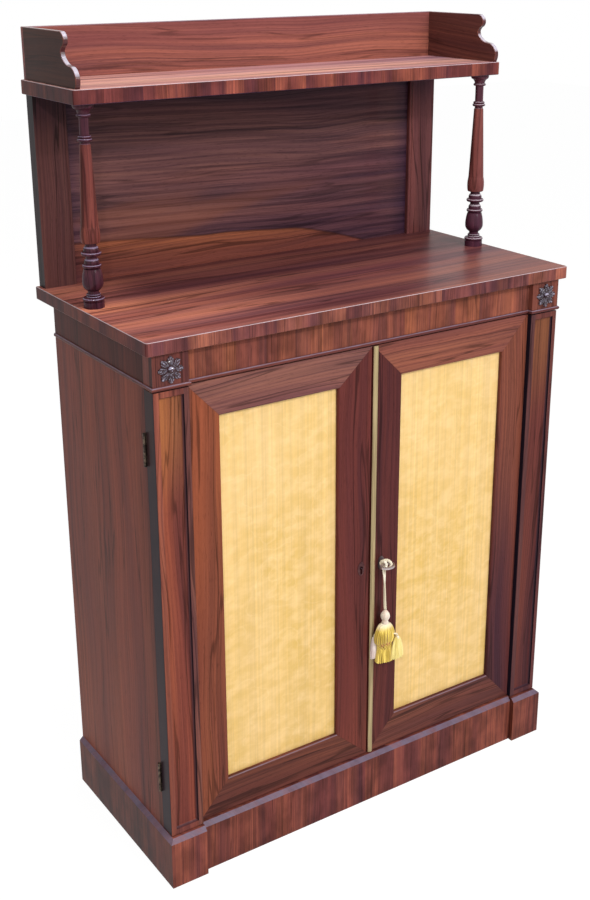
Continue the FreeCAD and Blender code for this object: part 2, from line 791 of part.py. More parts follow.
def fixed_leaf(sign, side, level, height):
    """The leaf on the carcass: a plate and the middle barrel, bored for the pin."""
    name = f"{side}_{level}_fixed_leaf"
    plate = box(f"{name}_plate", across(sign, half_body - d.hinge_spread, half_body),
                hinge_leaf_depth(True), hinge_span(height))
    low = height - middle_knuckle / 2 + leaf_gap
    high = height + middle_knuckle / 2 - leaf_gap
    solid = fused(f"{name}_solid", [plate] + knuckle(name, sign, low, high, True))
    clearance = 0.08
    bore = rod(f"{name}_bore", d.pin_radius + clearance, (sign * hinge_axis, at(hinge_depth), low - 1),
               (0, 0, 1), high - low + 2)
    return cut(name, solid, [bore])


def door_leaf(sign, side, level, height):
    """The leaf on the door: a plate, the two end barrels and the pin that joins them."""
    name = f"{side}_{level}_door_leaf"
    low, high = hinge_span(height)
    plate = box(f"{name}_plate", across(sign, half_body - d.hinge_spread, half_body),
                hinge_leaf_depth(False), (low, high))
    pieces = [plate]
    pieces += knuckle(f"{name}_foot", sign, low, height - middle_knuckle / 2, False)
    pieces += knuckle(f"{name}_head", sign, height + middle_knuckle / 2, high, False)
    pieces.append(rod(f"{name}_pin", d.pin_radius, (sign * hinge_axis, at(hinge_depth), low),
                      (0, 0, 1), d.hinge_length))
    return fused(name, pieces)


fixed_leaves = [fixed_leaf(sign, side, level, height)
                for side, sign in SIDES for level, height in hinge_heights]
subpart(grouped("carcass_hinge_leaves", fixed_leaves), "carcass_hinge_leaves")
for side, sign in SIDES:
    leaves = [door_leaf(sign, side, level, height) for level, height in hinge_heights]
    subpart(grouped(f"{side}_door_hinge_leaves", leaves), f"{side}_door_hinge_leaves")


# ---- doors: pilaster, mitred frame, silk panel on its board --------------------------------------

def pilaster(side, sign, cavetto=4.4):
    """A pilaster with a sunk panel, cut away behind for the hinge leaves."""
    name = f"{side}_pilaster"
    start = -half_body if sign < 0 else pilaster_in
    item = body(name, start, at(door_back), 0)
    face = sketch(item, f"{name}_face", "XZ_Plane")
    rectangle(face, (0, d.pilaster_width), (door_bottom, door_top))
    thick = d.door_thickness + d.pilaster_step
    pad(item, f"{name}_board", face, thick)
    front = -thick.number
    dress(item, "Fillet", f"{name}_arris", 1.6,
          lambda m, e: near(m.y, front) and (near(m.x, 0) or near(m.x, d.pilaster_width)))
    panel = sketch(item, f"{name}_sinking_plan", "XZ_Plane")
    bind(panel, "AttachmentOffset.Base.z", thick)
    margin = d.pilaster_margin
    rectangle(panel, (margin, d.pilaster_width - margin), (door_bottom + margin, door_top - margin))
    pocket(item, f"{name}_sinking", panel, d.pilaster_sinking)
    floor = front + d.pilaster_sinking.number
    dress(item, "Fillet", f"{name}_cavetto", cavetto, lambda m, e: near(m.y, floor))
    beds = sketch(item, f"{name}_hinge_beds_plan", "XZ_Plane")
    span = (0, d.hinge_spread) if sign < 0 else (d.pilaster_width - d.hinge_spread, d.pilaster_width)
    for _, height in hinge_heights:
        first = beds.GeometryCount
        low, high = hinge_span(height)
        corners = [(span[0], low), (span[1], low), (span[1], high), (span[0], high)]
        add_loop(beds, first, corners)
    pocket(item, f"{name}_hinge_beds", beds, d.hinge_leaf, reverse=True)
    subpart(item, name)


def frame_piece(name, sign, corners, inner_test, holes=()):
    """One mitred length of a door frame, rebated behind and rounded along its inner edge."""
    item = body(name, 0, at(door_back), 0)
    face = sketch(item, f"{name}_face", "XZ_Plane")
    corners = [(sign * x, z) for x, z in corners]
    add_loop(face, 0, corners)
    pad(item, f"{name}_board", face, d.door_thickness)
    front = -d.door_thickness.number
    dress(item, "Fillet", f"{name}_edge", d.frame_rounding,
          lambda m, e: near(m.y, front) and inner_test(m))
    rebate = sketch(item, f"{name}_rebate_plan", "XZ_Plane")
    wide = d.rebate_width
    spans = (d.panel_inner - wide, d.panel_outer + wide)
    rectangle(rebate, spans if sign > 0 else (-spans[1], -spans[0]),
              (d.panel_low - wide, d.panel_high + wide))
    pocket(item, f"{name}_rebate", rebate, d.rebate_depth, reverse=True)
    subpart(item, name)
    return item


def door_frame(side, sign):
    near_x, far_x = door_edges[sign], pilaster_in
    inner, outer = d.panel_inner, d.panel_outer
    low, high = d.panel_low, d.panel_high
    frame_piece(f"{side}_hinge_stile", sign,
                [(far_x, door_bottom), (far_x, door_top), (outer, high), (outer, low)],
                lambda m: near(abs(m.x), outer))
    frame_piece(f"{side}_door_top_rail", sign,
                [(near_x, door_top), (far_x, door_top), (outer, high), (inner, high)],
                lambda m: near(m.z, high))
    frame_piece(f"{side}_door_bottom_rail", sign,
                [(near_x, door_bottom), (far_x, door_bottom), (outer, low), (inner, low)],
                lambda m: near(m.z, low))
    stile = frame_piece(f"{side}_meeting_stile", sign,
                        [(near_x, door_bottom), (near_x, door_top), (inner, high), (inner, low)],
                        lambda m: near(abs(m.x), inner))
    if sign < 0:
        front = -d.door_thickness.number
        dress(stile, "Fillet", f"{side}_meeting_edge", d.frame_rounding,
              lambda m, e: near(m.y, front) and near(m.x, left_edge))
    keyhole(stile, side, sign)


keyholes = {-1: d.blind_keyhole_x, 1: d.key_x}


def keyhole_outline(item, x, radius=3.2, slot=3.6, drop=11):
    """A round hole with a narrow slot running down from it."""
    half = slot / 2
    lower = -math.sqrt(radius * radius - half * half)
    outline(item, [(x - half, d.key_height + lower, radius), (x - half, d.key_height - drop),
                   (x + half, d.key_height - drop), (x + half, d.key_height + lower),
                   (x + radius, d.key_height, radius), (x, d.key_height + radius, radius * 1.002),
                   (x - radius, d.key_height, radius * 1.002)])


def keyhole(stile, side, sign):
    """The right stile is pierced for the key; the left one has a blind hole that only matches it."""
    plan = sketch(stile, f"{side}_keyhole_plan", "XZ_Plane")
    keyhole_outline(plan, keyholes[sign])
    if sign > 0:
        pocket(stile, f"{side}_keyhole", plan, d.door_thickness, reverse=True)
    else:
        bind(plan, "AttachmentOffset.Base.z", d.door_thickness)
        pocket(stile, f"{side}_keyhole", plan, 6)


def silk_and_board(side, sign):
    inset = 0.5
    wide = d.rebate_width - inset
    x = across(sign, d.panel_inner - wide, d.panel_outer + wide)
    z = (d.panel_low - wide, d.panel_high + wide)
    seat = door_back + d.rebate_depth
    subpart(box(f"{side}_silk", x, deep(seat - d.silk_thickness, seat), z), f"{side}_silk")
    subpart(box(f"{side}_silk_board", x, deep(door_back + 2, seat - d.silk_thickness), z),
            f"{side}_silk_board")


def escutcheon(side, sign):
    """An oval brass plate pierced by the keyhole."""
    name = f"{side}_escutcheon"
    item = body(name, 0, at(door_face), 0)
    face = sketch(item, f"{name}_outline", "XZ_Plane")
    oval(face, keyholes[sign], d.key_height - 1, half_long=11.8, half_short=6.6, upright=True)
    pad(item, f"{name}_plate", face, 0.8)
    hole = sketch(item, f"{name}_hole_plan", "XZ_Plane")
    keyhole_outline(hole, keyholes[sign])
    pocket(item, f"{name}_hole", hole, 0.8, reverse=True)
    subpart(item, name)


for side, sign in SIDES:
    pilaster(side, sign)
    door_frame(side, sign)
    silk_and_board(side, sign)
    escutcheon(side, sign)


def meeting_bead(width=9.0, reach=3.0):
    """The half-round brass strip beside the line where the doors meet."""
    item = body("meeting_bead", right_edge, at(door_face), door_bottom)
    plan = sketch(item, "meeting_bead_section", "XY_Plane")
    radius = (width * width / 4 + reach * reach) / (2 * reach)
    outline(plan, [(0, 0), (width / 2, -reach, radius), (width, 0, radius)])
    pad(item, "meeting_bead_strip", plan, door_top - door_bottom)
    subpart(item, "meeting_bead")


meeting_bead()


# ---- lock, bolt, key and keep -------------------------------------------------------------------

lock_low = d.key_height - d.lock_height / 2
lock_near = right_edge + 3
bolt_low = d.key_height + 10.5
bolt_tall = 11
bolt_back = door_back - 8
bolt_front = door_back - 2


def lock_case():
    """A shallow steel box, open towards the door, with a slot for the bolt in its near end."""
    wall = d.lock_wall
    far = lock_near + d.lock_width
    high = lock_low + d.lock_height
    back = door_back - d.lock_thickness
    solid = box("lock_case_block", (lock_near, far), deep(back, door_back), (lock_low, high))
    hollow = box("lock_case_hollow", (lock_near + wall, far - wall), deep(back + wall, door_back),
                 (lock_low + wall, high - wall))
    play = 0.3
    slot = box("lock_case_slot", (lock_near - 1, lock_near + wall + 1),
               deep(bolt_back - play, bolt_front + play), (bolt_low - play, bolt_low + bolt_tall + play))
    subpart(cut("lock_case", solid, [hollow, slot]), "lock_case")


def lock_bolt():
    """A flat bolt with the notch that the key's bit works in; at rest it is drawn back."""
    name = "lock_bolt"
    item = body(name, lock_near, at(bolt_front), bolt_low)
    face = sketch(item, f"{name}_face", "XZ_Plane")
    notch = d.key_x - lock_near
    outline(face, [(0, 0), (notch - 4, 0), (notch - 3, 4), (notch + 3, 4), (notch + 4, 0),
                   (28, 0), (28, bolt_tall), (0, bolt_tall)])
    pad(item, f"{name}_bar", face, bolt_front - bolt_back, reverse=True)
    subpart(item, name)


def lock_keep():
    """The box on the left door's back that takes the bolt."""
    wall = d.lock_wall
    play = 0.5
    mouth = left_edge - 2
    shut = lock_near - d.bolt_throw - 2
    low = bolt_low - 3
    high = bolt_low + bolt_tall + 3
    solid = box("lock_keep_block", (shut - wall, mouth), deep(bolt_back - play - wall, door_back),
                (low, high))
    hollow = box("lock_keep_hollow", (shut, mouth + 1), deep(bolt_back - play, door_back),
                 (bolt_low - play, bolt_low + bolt_tall + play))
    subpart(cut("lock_keep", solid, [hollow]), "lock_keep")


def key():
    """A key with a hollow oval bow, a collar, a round stem and a bit; its bow and bit lie level."""
    name = "key"
    item = body(name, d.key_x, at(door_face), d.key_height)
    tip = d.lock_thickness + d.door_thickness - 3.5
    foot_of_bow = d.bow_length - d.key_reach
    stem = sketch(item, "key_stem_profile", "XY_Plane")
    radius = d.stem_radius
    outline(stem, [(0, tip), (radius, tip), (radius, -2.2), (radius + 1, -3), (radius + 1, -4.4),
                   (radius, -5.2), (radius, foot_of_bow - 1), (0, foot_of_bow - 1)])
    turned(item, "key_stem", stem)
    bow = sketch(item, "key_bow_outline", "XY_Plane")
    middle = foot_of_bow - d.bow_length / 2
    wire = 3.4
    oval(bow, size(0), middle, d.bow_width / 2, d.bow_length / 2)
    oval(bow, size(0), middle, d.bow_width / 2 - wire, d.bow_length / 2 - wire)
    ring = pad(item, "key_bow", bow, wire)
    ring.Midplane = True
    bit = sketch(item, "key_bit_outline", "XY_Plane")
    lock_floor = d.door_thickness + d.lock_thickness - d.lock_wall
    outline(bit, [(1, lock_floor - 8), (9.2, lock_floor - 8), (9.2, lock_floor - 6),
                  (6.5, lock_floor - 6), (6.5, lock_floor - 4.6), (9.2, lock_floor - 4.6),
                  (9.2, lock_floor - 2.4), (1, lock_floor - 2.4)])
    wards = pad(item, "key_bit", bit, 2.4)
    wards.Midplane = True
    subpart(item, name)


lock_case()
lock_bolt()
lock_keep()
key()


# ---- the left door's surface bolts --------------------------------------------------------------

def surface_bolt(level, sign, end):
    """A rod with a thumb pin; end is the height of its free end when it is drawn back."""
    name = f"left_{level}_bolt"
    length = 68
    low = end - length if sign > 0 else end
    shaft = rod(f"{name}_rod", d.rod_radius, (-d.rod_x, at(rod_depth), low), (0, 0, 1), size(length))
    thumb = low + 26 if sign > 0 else low + length - 26
    pin = rod(f"{name}_thumb", 2.6, (-d.rod_x, at(rod_depth), thumb), (0, 1, 0), size(12))
    subpart(fused(name, [shaft, pin]), name)


def bolt_plate(level, sign, end):
    """The back plate of a bolt with its two staples."""
    name = f"left_{level}_bolt_plate"
    half_wide = 11
    outer = end - 4 * sign
    inner = end - 64 * sign
    low, high = (inner, outer) if sign > 0 else (outer, inner)
    x = (-(d.rod_x + half_wide), -(d.rod_x - half_wide))
    plate = box(f"{name}_sheet", x, deep(door_back - 1.4, door_back), (low, high))
    staple = (-(d.rod_x + 6.5), -(d.rod_x - 6.5))
    pieces = [plate]
    for n, foot in enumerate((low + 2, high - 10)):
        pieces.append(box(f"{name}_staple_{n + 1}", staple, deep(rod_depth - 5, door_back - 1.4),
                          (foot, foot + 8)))
    bore = rod(f"{name}_bore", d.rod_radius + 0.4, (-d.rod_x, at(rod_depth), low - 1), (0, 0, 1),
               high - low + 2)
    return cut(name, fused(f"{name}_solid", pieces), [bore])


rod_rest = 3
top_end = rail_foot - rod_rest
bottom_end = board_top + rod_rest
surface_bolt("top", 1, top_end)
surface_bolt("bottom", -1, bottom_end)
subpart(grouped("left_bolt_plates", [bolt_plate("top", 1, top_end),
                                     bolt_plate("bottom", -1, bottom_end)]), "left_bolt_plates")


# ---- the tassel on the key ----------------------------------------------------------------------

tassel_y = at(door_face + d.tassel_depth)
head_top = d.key_height - d.tassel_drop


def turned_piece(name, x, y, z, steps):
    """A turned form; steps run from its foot to its top beside the axis."""
    item = body(name, x, y, z)
    profile = sketch(item, f"{name}_profile", "XZ_Plane")
    outline(profile, steps)
    turned(item, f"{name}_turning", profile)
    return item


cord = rod("tassel_cord", d.cord_radius, (d.key_x, tassel_y, head_top), (0, 0, 1),
           d.tassel_drop - d.cord_start)
subpart(cord, "tassel_cord")

neck_foot = head_top - 28.4
head = turned_piece("tassel_head", d.key_x, tassel_y, neck_foot,
                    [(0, 0), (5.6, 0), (4.2, 4), (4.2, 6.5), (d.cord_radius, 28.4, 15.4), (0, 28.4)])
subpart(head, "tassel_head")


def bundle(name, x, y, foot, rings):
    """A bunch of threads flattened against the door: a loft through ovals from foot to top."""
    loops = []
    for number, (height, half_wide, half_deep) in enumerate(rings, start=1):
        loop = doc.addObject("Part::Ellipse", f"{name}_ring_{number}")
        bind(loop, "MajorRadius", half_wide)
        bind(loop, "MinorRadius", half_deep)
        place(loop, x, y, foot + height)
        loops.append(loop)
    item = doc.addObject("Part::Loft", name)
    item.Sections = loops
    item.Solid = True
    item.Ruled = True
    return item


skirt_tall = 66
subpart(bundle("tassel_skirt", d.key_x - 0.8, tassel_y, neck_foot - skirt_tall,
               [(0, 18.8, 10.2), (27, 13.9, 8), (38, 14.2, 8.2), (40, 18.2, 10), (52, 17.6, 9.8),
                (61, 12.5, 8.2), (skirt_tall, 6, 5.6)]), "tassel_skirt")
small_tassels = [
    bundle("small_tassel_right", d.key_x + 22.5, tassel_y - 7.8, neck_foot - 63,
           [(0, 7.5, 4.4), (22, 6, 4), (32, 2.6, 2.4), (38, 3.4, 3.2), (46, 1.4, 1.3)]),
    bundle("small_tassel_left", d.key_x - 17.4, tassel_y + 8.3, neck_foot - 59,
           [(0, 5, 2.3), (26, 3.4, 2.1), (37, 1.2, 1.1)]),
]
subpart(grouped("small_tassels", small_tassels), "small_tassels")


# ---- check and write ----------------------------------------------------------------------------

doc.recompute()
failed = [item.Name for item in doc.Objects if {"Invalid", "Error"} & set(item.State)]
bad = [item.Label for item in SUBPARTS if item.Shape.isNull() or not item.Shape.isValid()]
if failed or bad:
    raise RuntimeError(f"failed objects {failed}; bad shapes {bad}")

os.makedirs("parts", exist_ok=True)
for item in SUBPARTS:
    item.Shape.exportStep(f"parts/{item.Label}.step")
    extent = item.Shape.BoundBox
    print(f"{item.Label}: {len(item.Shape.Solids)} solid(s), "
          f"{extent.XLength:.1f} x {extent.YLength:.1f} x {extent.ZLength:.1f}")
print(len(SUBPARTS), "sub-parts")
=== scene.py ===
# %% [markdown]
# # A rosewood chiffonier
# The carcass, doors, shelf and columns come from the CAD model, and each keeps its place and
# shape. This file gives them their finishes and adds what is too soft or too small for CAD: the
# silk in the doors, the tassel with its cord, and the screws. All sizes are in metres, with X to
# the right, -Y out of the front and Z up.

# %% Load the CAD model
import math
import random

import bpy
from mathutils import Matrix, Vector


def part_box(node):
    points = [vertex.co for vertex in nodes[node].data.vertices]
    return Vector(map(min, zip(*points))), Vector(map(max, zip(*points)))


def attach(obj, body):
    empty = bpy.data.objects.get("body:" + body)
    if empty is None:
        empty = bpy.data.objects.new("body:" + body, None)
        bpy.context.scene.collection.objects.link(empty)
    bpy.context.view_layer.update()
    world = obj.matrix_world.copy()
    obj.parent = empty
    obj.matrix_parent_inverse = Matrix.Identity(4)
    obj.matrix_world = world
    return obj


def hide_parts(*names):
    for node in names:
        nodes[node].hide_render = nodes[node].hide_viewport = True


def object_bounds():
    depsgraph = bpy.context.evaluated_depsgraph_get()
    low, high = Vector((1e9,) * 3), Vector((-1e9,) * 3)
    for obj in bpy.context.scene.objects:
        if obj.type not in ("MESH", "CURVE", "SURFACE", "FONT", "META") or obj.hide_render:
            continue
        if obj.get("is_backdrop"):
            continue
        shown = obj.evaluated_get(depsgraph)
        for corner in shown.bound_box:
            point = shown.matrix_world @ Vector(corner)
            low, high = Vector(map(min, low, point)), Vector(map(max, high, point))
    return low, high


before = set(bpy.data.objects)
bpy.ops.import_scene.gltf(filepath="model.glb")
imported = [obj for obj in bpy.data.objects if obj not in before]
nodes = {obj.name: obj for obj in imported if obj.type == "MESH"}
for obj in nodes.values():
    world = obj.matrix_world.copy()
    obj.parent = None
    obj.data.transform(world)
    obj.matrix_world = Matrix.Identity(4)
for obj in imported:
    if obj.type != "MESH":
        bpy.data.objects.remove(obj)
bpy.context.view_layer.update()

# %% [markdown]
# ## Writing node trees as sums
# Materials and Geometry Nodes are both trees of nodes. Making and linking each node by hand is
# long and hard to read, so a small class wraps one socket, and an ordinary sum on it adds the
# Math node that does the sum.


# %% A socket that can be used in sums
class Wire:
    """One output socket of a tree. Sums on it add Math nodes to the same tree."""

    def __init__(self, tree, socket):
        self.tree, self.socket = tree, socket

    def sum(self, operation, *values):
        return self.tree.node("ShaderNodeMath", values, operation=operation)

    def __add__(self, other):
        return self.sum("ADD", self, other)

    def __sub__(self, other):
        return self.sum("SUBTRACT", self, other)

    def __rsub__(self, other):
        return self.sum("SUBTRACT", other, self)

    def __mul__(self, other):
        return self.sum("MULTIPLY", self, other)

    def __truediv__(self, other):
        return self.sum("DIVIDE", self, other)

    def __abs__(self):
        return self.sum("ABSOLUTE", self)

    def __neg__(self):
        return self * -1

    __radd__ = __add__
    __rmul__ = __mul__

    def of(self, function):
        """A function of this number alone, such as its cosine."""
        return self.sum(function, self)

    def most(self, other):
        return self.sum("MAXIMUM", self, other)

    def least(self, other):
        return self.sum("MINIMUM", self, other)

    def span(self, low, high):
        """0 below low, 1 above high, and smooth between."""
        values = {"Value": self, "From Min": low, "From Max": high}
        return self.tree.node("ShaderNodeMapRange", values, interpolation_type="SMOOTHSTEP")

    def times(self, other, share=1.0):
        """The product with a colour, or with a number, or that share of the way to it."""
        return self.tree.mix(self, other, share, "MULTIPLY")

    def out(self, name):
        """Another output of the node that this wire comes from."""
        return Wire(self.tree, self.socket.node.outputs[name])


# %% [markdown]
# Every other node comes from one method. The settings are set first, because a setting such as
# the data type decides which of the node's sockets are in use.


# %% A tree of nodes
class Tree:
    """A node tree with one method that adds any node."""

    def __init__(self, tree):
        self.tree = tree
        tree.nodes.clear()

    def node(self, kind, values=(), **settings):
        made = self.tree.nodes.new(kind)
        for name, value in settings.items():
            setattr(made, name, value)
        used = [socket for socket in made.inputs if socket.enabled]
        pairs = values.items() if isinstance(values, dict) else enumerate(values)
        for name, value in pairs:
            by_name = (socket for socket in used if socket.name == name)
            socket = used[name] if isinstance(name, int) else next(by_name)
            if isinstance(value, Wire):
                self.tree.links.new(value.socket, socket)
            elif value is not None:
                socket.default_value = value
        outputs = [socket for socket in made.outputs if socket.enabled]
        return Wire(self, outputs[0]) if outputs else made

    def vector(self, x, y, z):
        return self.node("ShaderNodeCombineXYZ", (x, y, z))

    def split(self, wire):
        xyz = self.node("ShaderNodeSeparateXYZ", (wire,))
        return xyz, xyz.out("Y"), xyz.out("Z")

    def noise(self, place, detail=2.0, roughness=0.5):
        place = self.vector(*place)
        values = {"Vector": place, "Scale": 1.0, "Detail": detail, "Roughness": roughness}
        return self.node("ShaderNodeTexNoise", values)

    def chance(self, number):
        """One random value for each whole number."""
        white = self.node("ShaderNodeTexWhiteNoise", {"W": number}, noise_dimensions="1D")
        return white.out("Value")

    def mix(self, first, second, share, blend="MIX"):
        first, second = (c if isinstance(c, Wire) else (*c, 1) for c in (first, second))
        values = {"Factor": share, "A": first, "B": second}
        return self.node("ShaderNodeMix", values, data_type="RGBA", blend_type=blend)

    def choose(self, first, second, share):
        """Between two numbers, as mix does with colours."""
        return self.node("ShaderNodeMix", (share, first, second), data_type="FLOAT")


# %% A finish
class Finish(Tree):
    """A material with one Principled shader."""

    def __init__(self, name, **sockets):
        self.material = bpy.data.materials.new(name)
        self.material.use_nodes = True
        super().__init__(self.material.node_tree)
        self.shader = self.tree.nodes.new("ShaderNodeBsdfPrincipled")
        result = self.tree.nodes.new("ShaderNodeOutputMaterial")
        self.tree.links.new(self.shader.outputs[0], result.inputs["Surface"])
        self.set(**sockets)

    def set(self, **sockets):
        for name, value in sockets.items():
            socket = self.shader.inputs[name.replace("_", " ")]
            if isinstance(value, Wire):
                self.tree.links.new(value.socket, socket)
            elif isinstance(value, tuple):
                socket.default_value = (*value, 1)
            else:
                socket.default_value = value

    def place(self):
        """The point's x, y and z on the piece, in metres."""
        return self.split(self.node("ShaderNodeTexCoord").out("Object"))

    def faces(self):
        """How far the surface faces along x, y and z."""
        return self.split(self.node("ShaderNodeTexCoord").out("Normal"))

    def bump(self, height, depth):
        """Relief of that height in metres, from a wire that goes from 0 to 1."""
        values = {"Strength": 1.0, "Distance": depth, "Height": height}
        self.set(Normal=self.node("ShaderNodeBump", values))


def begin(name):
    """A new finish with the x, y and z of its points."""
    finish = Finish(name)
    return finish, *finish.place()


# %% [markdown]
# ## Camera, light and floor
# The camera stands a little to the left and above, and looks down by 19 degrees. Its turn is
# written as three directions, which leave no doubt about the order of angles.


# %% Camera
def new_object(name, data):
    made = bpy.data.objects.new(name, data)
    bpy.context.scene.collection.objects.link(made)
    return made


def camera(place, azimuth, elevation, roll, lens, shift):
    a, e, r = (math.radians(v) for v in (azimuth, elevation, roll))
    ahead = Vector((-math.sin(a) * math.cos(e), math.cos(a) * math.cos(e), -math.sin(e)))
    right = ahead.cross(Vector((0, 0, 1))).normalized()
    down = ahead.cross(right)
    across = right * math.cos(r) - down * math.sin(r)
    below = right * math.sin(r) + down * math.cos(r)
    data = bpy.data.cameras.new("camera")
    data.lens, data.sensor_width = lens, 36
    data.shift_x, data.shift_y = shift
    data.clip_end = 50
    made = new_object("camera", data)
    turn = Matrix((across, -below, -ahead)).transposed()
    made.matrix_world = Matrix.Translation(place) @ turn.to_4x4()
    bpy.context.scene.camera = made


camera(
    (-1.11499, -1.64160, 1.37275), azimuth=-33.5576, elevation=18.9907, roll=-0.2593,
    lens=51.26, shift=(-0.0032, -0.0668),
)


# %% [markdown]
# A white world lights the piece from all round, with two broad lamps and two small ones that put
# sparks on the turned work. What the camera sees behind the piece is white, and so is what the
# polish mirrors, while the light that reaches the piece from there is weaker.


# %% Light
bpy.context.scene.view_settings.view_transform = "Standard"


def lamp(name, place, aim, size, watts):
    data = bpy.data.lights.new(name, "AREA")
    data.shape, data.size, data.energy = "DISK", size, watts
    made = new_object(name, data)
    made.location = place
    made.rotation_mode = "QUATERNION"
    made.rotation_quaternion = (Vector(aim) - Vector(place)).to_track_quat("-Z", "Y")


lamp("front_lamp", (0.7, -3.1, 2.7), aim=(0, 0, 0.6), size=2.2, watts=74)
lamp("top_lamp", (-0.2, -0.5, 3.5), aim=(0, 0, 0.8), size=1.8, watts=46)
lamp("left_spark", (-1.6, -2.2, 2.3), aim=(0, 0, 0.9), size=0.13, watts=17)
lamp("right_spark", (0.5, -2.6, 2.6), aim=(0, 0, 0.9), size=0.13, watts=17)


def white_behind(tree):
    """1 for rays that show the background, straight or in polish or glass, and 0 for the rest."""
    rays = tree.node("ShaderNodeLightPath")
    kinds = ("Is Camera Ray", "Is Glossy Ray", "Is Transmission Ray")
    return sum(rays.out(kind) for kind in kinds).least(1.0)


WORLD_LIGHT = 0.42
world = bpy.data.worlds.new("studio")
world.use_nodes = True
bpy.context.scene.world = world
sky = Tree(world.node_tree)
strength = WORLD_LIGHT + (1 - WORLD_LIGHT) * white_behind(sky)
light = sky.node("ShaderNodeBackground", ((1, 1, 1, 1), strength))
sky.node("ShaderNodeOutputWorld", (light,))

# %% Floor
HALF_FLOOR = 9
FLOOR_GLOW = 1.08
GLOW_SHARE = 0.87
corners = ((-1, -1), (1, -1), (1, 1), (-1, 1))
corners = [(x * HALF_FLOOR, y * HALF_FLOOR, 0) for x, y in corners]
floor_mesh = bpy.data.meshes.new("floor")
floor_mesh.from_pydata(corners, [], [(0, 1, 2, 3)])
floor = new_object("floor", floor_mesh)
pale = Finish("pale_floor", Base_Color=(0.80, 0.80, 0.80), Roughness=0.9)
glow = pale.node("ShaderNodeEmission", {"Color": (1, 1, 1, 1), "Strength": FLOOR_GLOW})
plain = Wire(pale, pale.shader.outputs[0])
both = pale.node("ShaderNodeMixShader", (white_behind(pale) * GLOW_SHARE, plain, glow))
surface = next(n for n in pale.tree.nodes if n.type == "OUTPUT_MATERIAL").inputs["Surface"]
pale.tree.links.new(both.socket, surface)
floor_mesh.materials.append(pale.material)
floor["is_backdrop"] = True

# %% [markdown]
# ## Rosewood
# Rosewood is a red-brown wood with dark purple lines that wander along the board, orange streaks
# between them, and open pores that show as short dark flecks. A painted picture of it would end
# at the edge of each board. Here the figure is a noise in space, stretched along the grain, so a
# board's face, edge and end agree.

# %% Colours of rosewood
DARK = (0.056, 0.021, 0.026)
GROUND = (0.178, 0.050, 0.036)
STREAK = (0.36, 0.112, 0.050)


# %% The figure of one board
def figure(finish, along, across, through, seed, line=1.0, warmth=0.6):
    """Colour and relief of rosewood whose grain runs along the first direction."""
    side = through + seed
    wander = finish.noise((along * 1.3, across * 4, side * 4))
    ripple = finish.noise((along * 6, across * 18, side * 18))
    across = across + (wander - 0.5) * 0.085 + (ripple - 0.5) * 0.006
    bands = finish.noise((along * 0.7, across * 33, side * 9), 3, 0.6)
    lines = finish.noise((along * 1.6, across * 280, side * 80), 3, 0.7)
    hair = finish.noise((along * 6, across * 620, side * 300))
    ink = abs(finish.noise((along * 0.9, across * 24, side * 12), 3, 0.6) - 0.5)
    pores = finish.noise((along * 75, across * 1300, side * 900), 1)
    warm = finish.noise((along * 0.9, across * 10, side * 6))
    ground = finish.mix(DARK, GROUND, 0.34 + bands.span(0.34, 0.62) * 0.66)
    fine = lines.span(0.30, 0.70)
    ground = finish.mix(ground, STREAK, warm.span(0.38, 0.66) * (0.4 + fine * 0.6) * warmth)
    veins = 1 - (1 - ink.span(0.003, 0.016)) * 0.46 * line
    shade = (0.80 + fine * 0.26 + (hair - 0.5) * 0.5) * veins
    flecks = 1 - pores.span(0.60, 0.72) * 0.30
    return ground.times(shade * flecks), fine * 0.4 + flecks * 0.6


# %% [markdown]
# The veneer on edges, the frieze and the plinth is laid in short pieces whose grain stands
# upright. Each piece comes from another part of the sheet, so its figure jumps at the joint and
# its tone differs a little.


# %% Upright pieces side by side
def crossband(finish, along, up, through, seed, width, warmth=0.8):
    """Figure of short pieces of veneer, width metres each, with upright grain."""
    value = finish.chance((along / width).of("FLOOR") + seed)
    places = (up + value * 3, along * 1.5, through + value * 0.2)
    colour, relief = figure(finish, *places, seed, line=0.7, warmth=warmth)
    blotch = finish.noise((up * 22, along * 34, through * 22 + seed))
    tone = 0.62 + value * 0.26 + blotch.span(0.3, 0.7) * 0.5
    return colour.times(tone), relief


# %% Polish
UNCHANGED = (1.0, 1.0, 1.0)


def polish(finish, colour, relief, tone=UNCHANGED, gloss=0.05, rubbed=0.0, left=UNCHANGED,
           worn_tone=(0.22, 0.165, 0.215), sheltered=None, depth=0.00006):
    """French polish over the figure: a clear gloss that has dulled in places.

    rubbed is a painted sheen, in the colour worn_tone, on edges that slope up. left is
    a tone of painted shade for the faces that look left, and sheltered is the height of a
    board overhead, with painted shade for 75 mm below it.
    """
    x, y, z = finish.place()
    cloud = finish.noise((x * 5, y * 5, z * 5))
    worn = finish.noise((x * 60, y * 60, z * 60))
    colour = colour.times(tone)
    rightward, _, rise = finish.faces()
    # painted shade on the faces that look left
    colour = colour.times(left, (-rightward).span(0.8, 0.95))
    # painted shade for 75 mm under a board overhead
    if sheltered:
        kept = z.span(sheltered - 0.075, sheltered - 0.005)
        colour = colour.times((0.52, 0.52, 0.72), kept)
    # painted sheen on the edges that slope up, patchy by a noise
    if rubbed:
        sloping = rise.span(0.30, 0.55) * (1 - rise.span(0.86, 0.96))
        colour = finish.mix(colour, worn_tone, sloping * rubbed * (0.35 + worn))
    finish.set(
        Base_Color=colour,
        Roughness=0.30 + cloud * 0.12 + worn * 0.06,
        Specular_IOR_Level=0.05,
        Coat_Weight=gloss,
        Coat_Roughness=0.06,
    )
    finish.bump(relief, depth)
    return finish.material


# %% [markdown]
# One function makes all the boards: it takes the direction of the grain. A second one makes the
# boards whose faces and edges differ, and chooses between the two figures by the way that the
# surface faces.


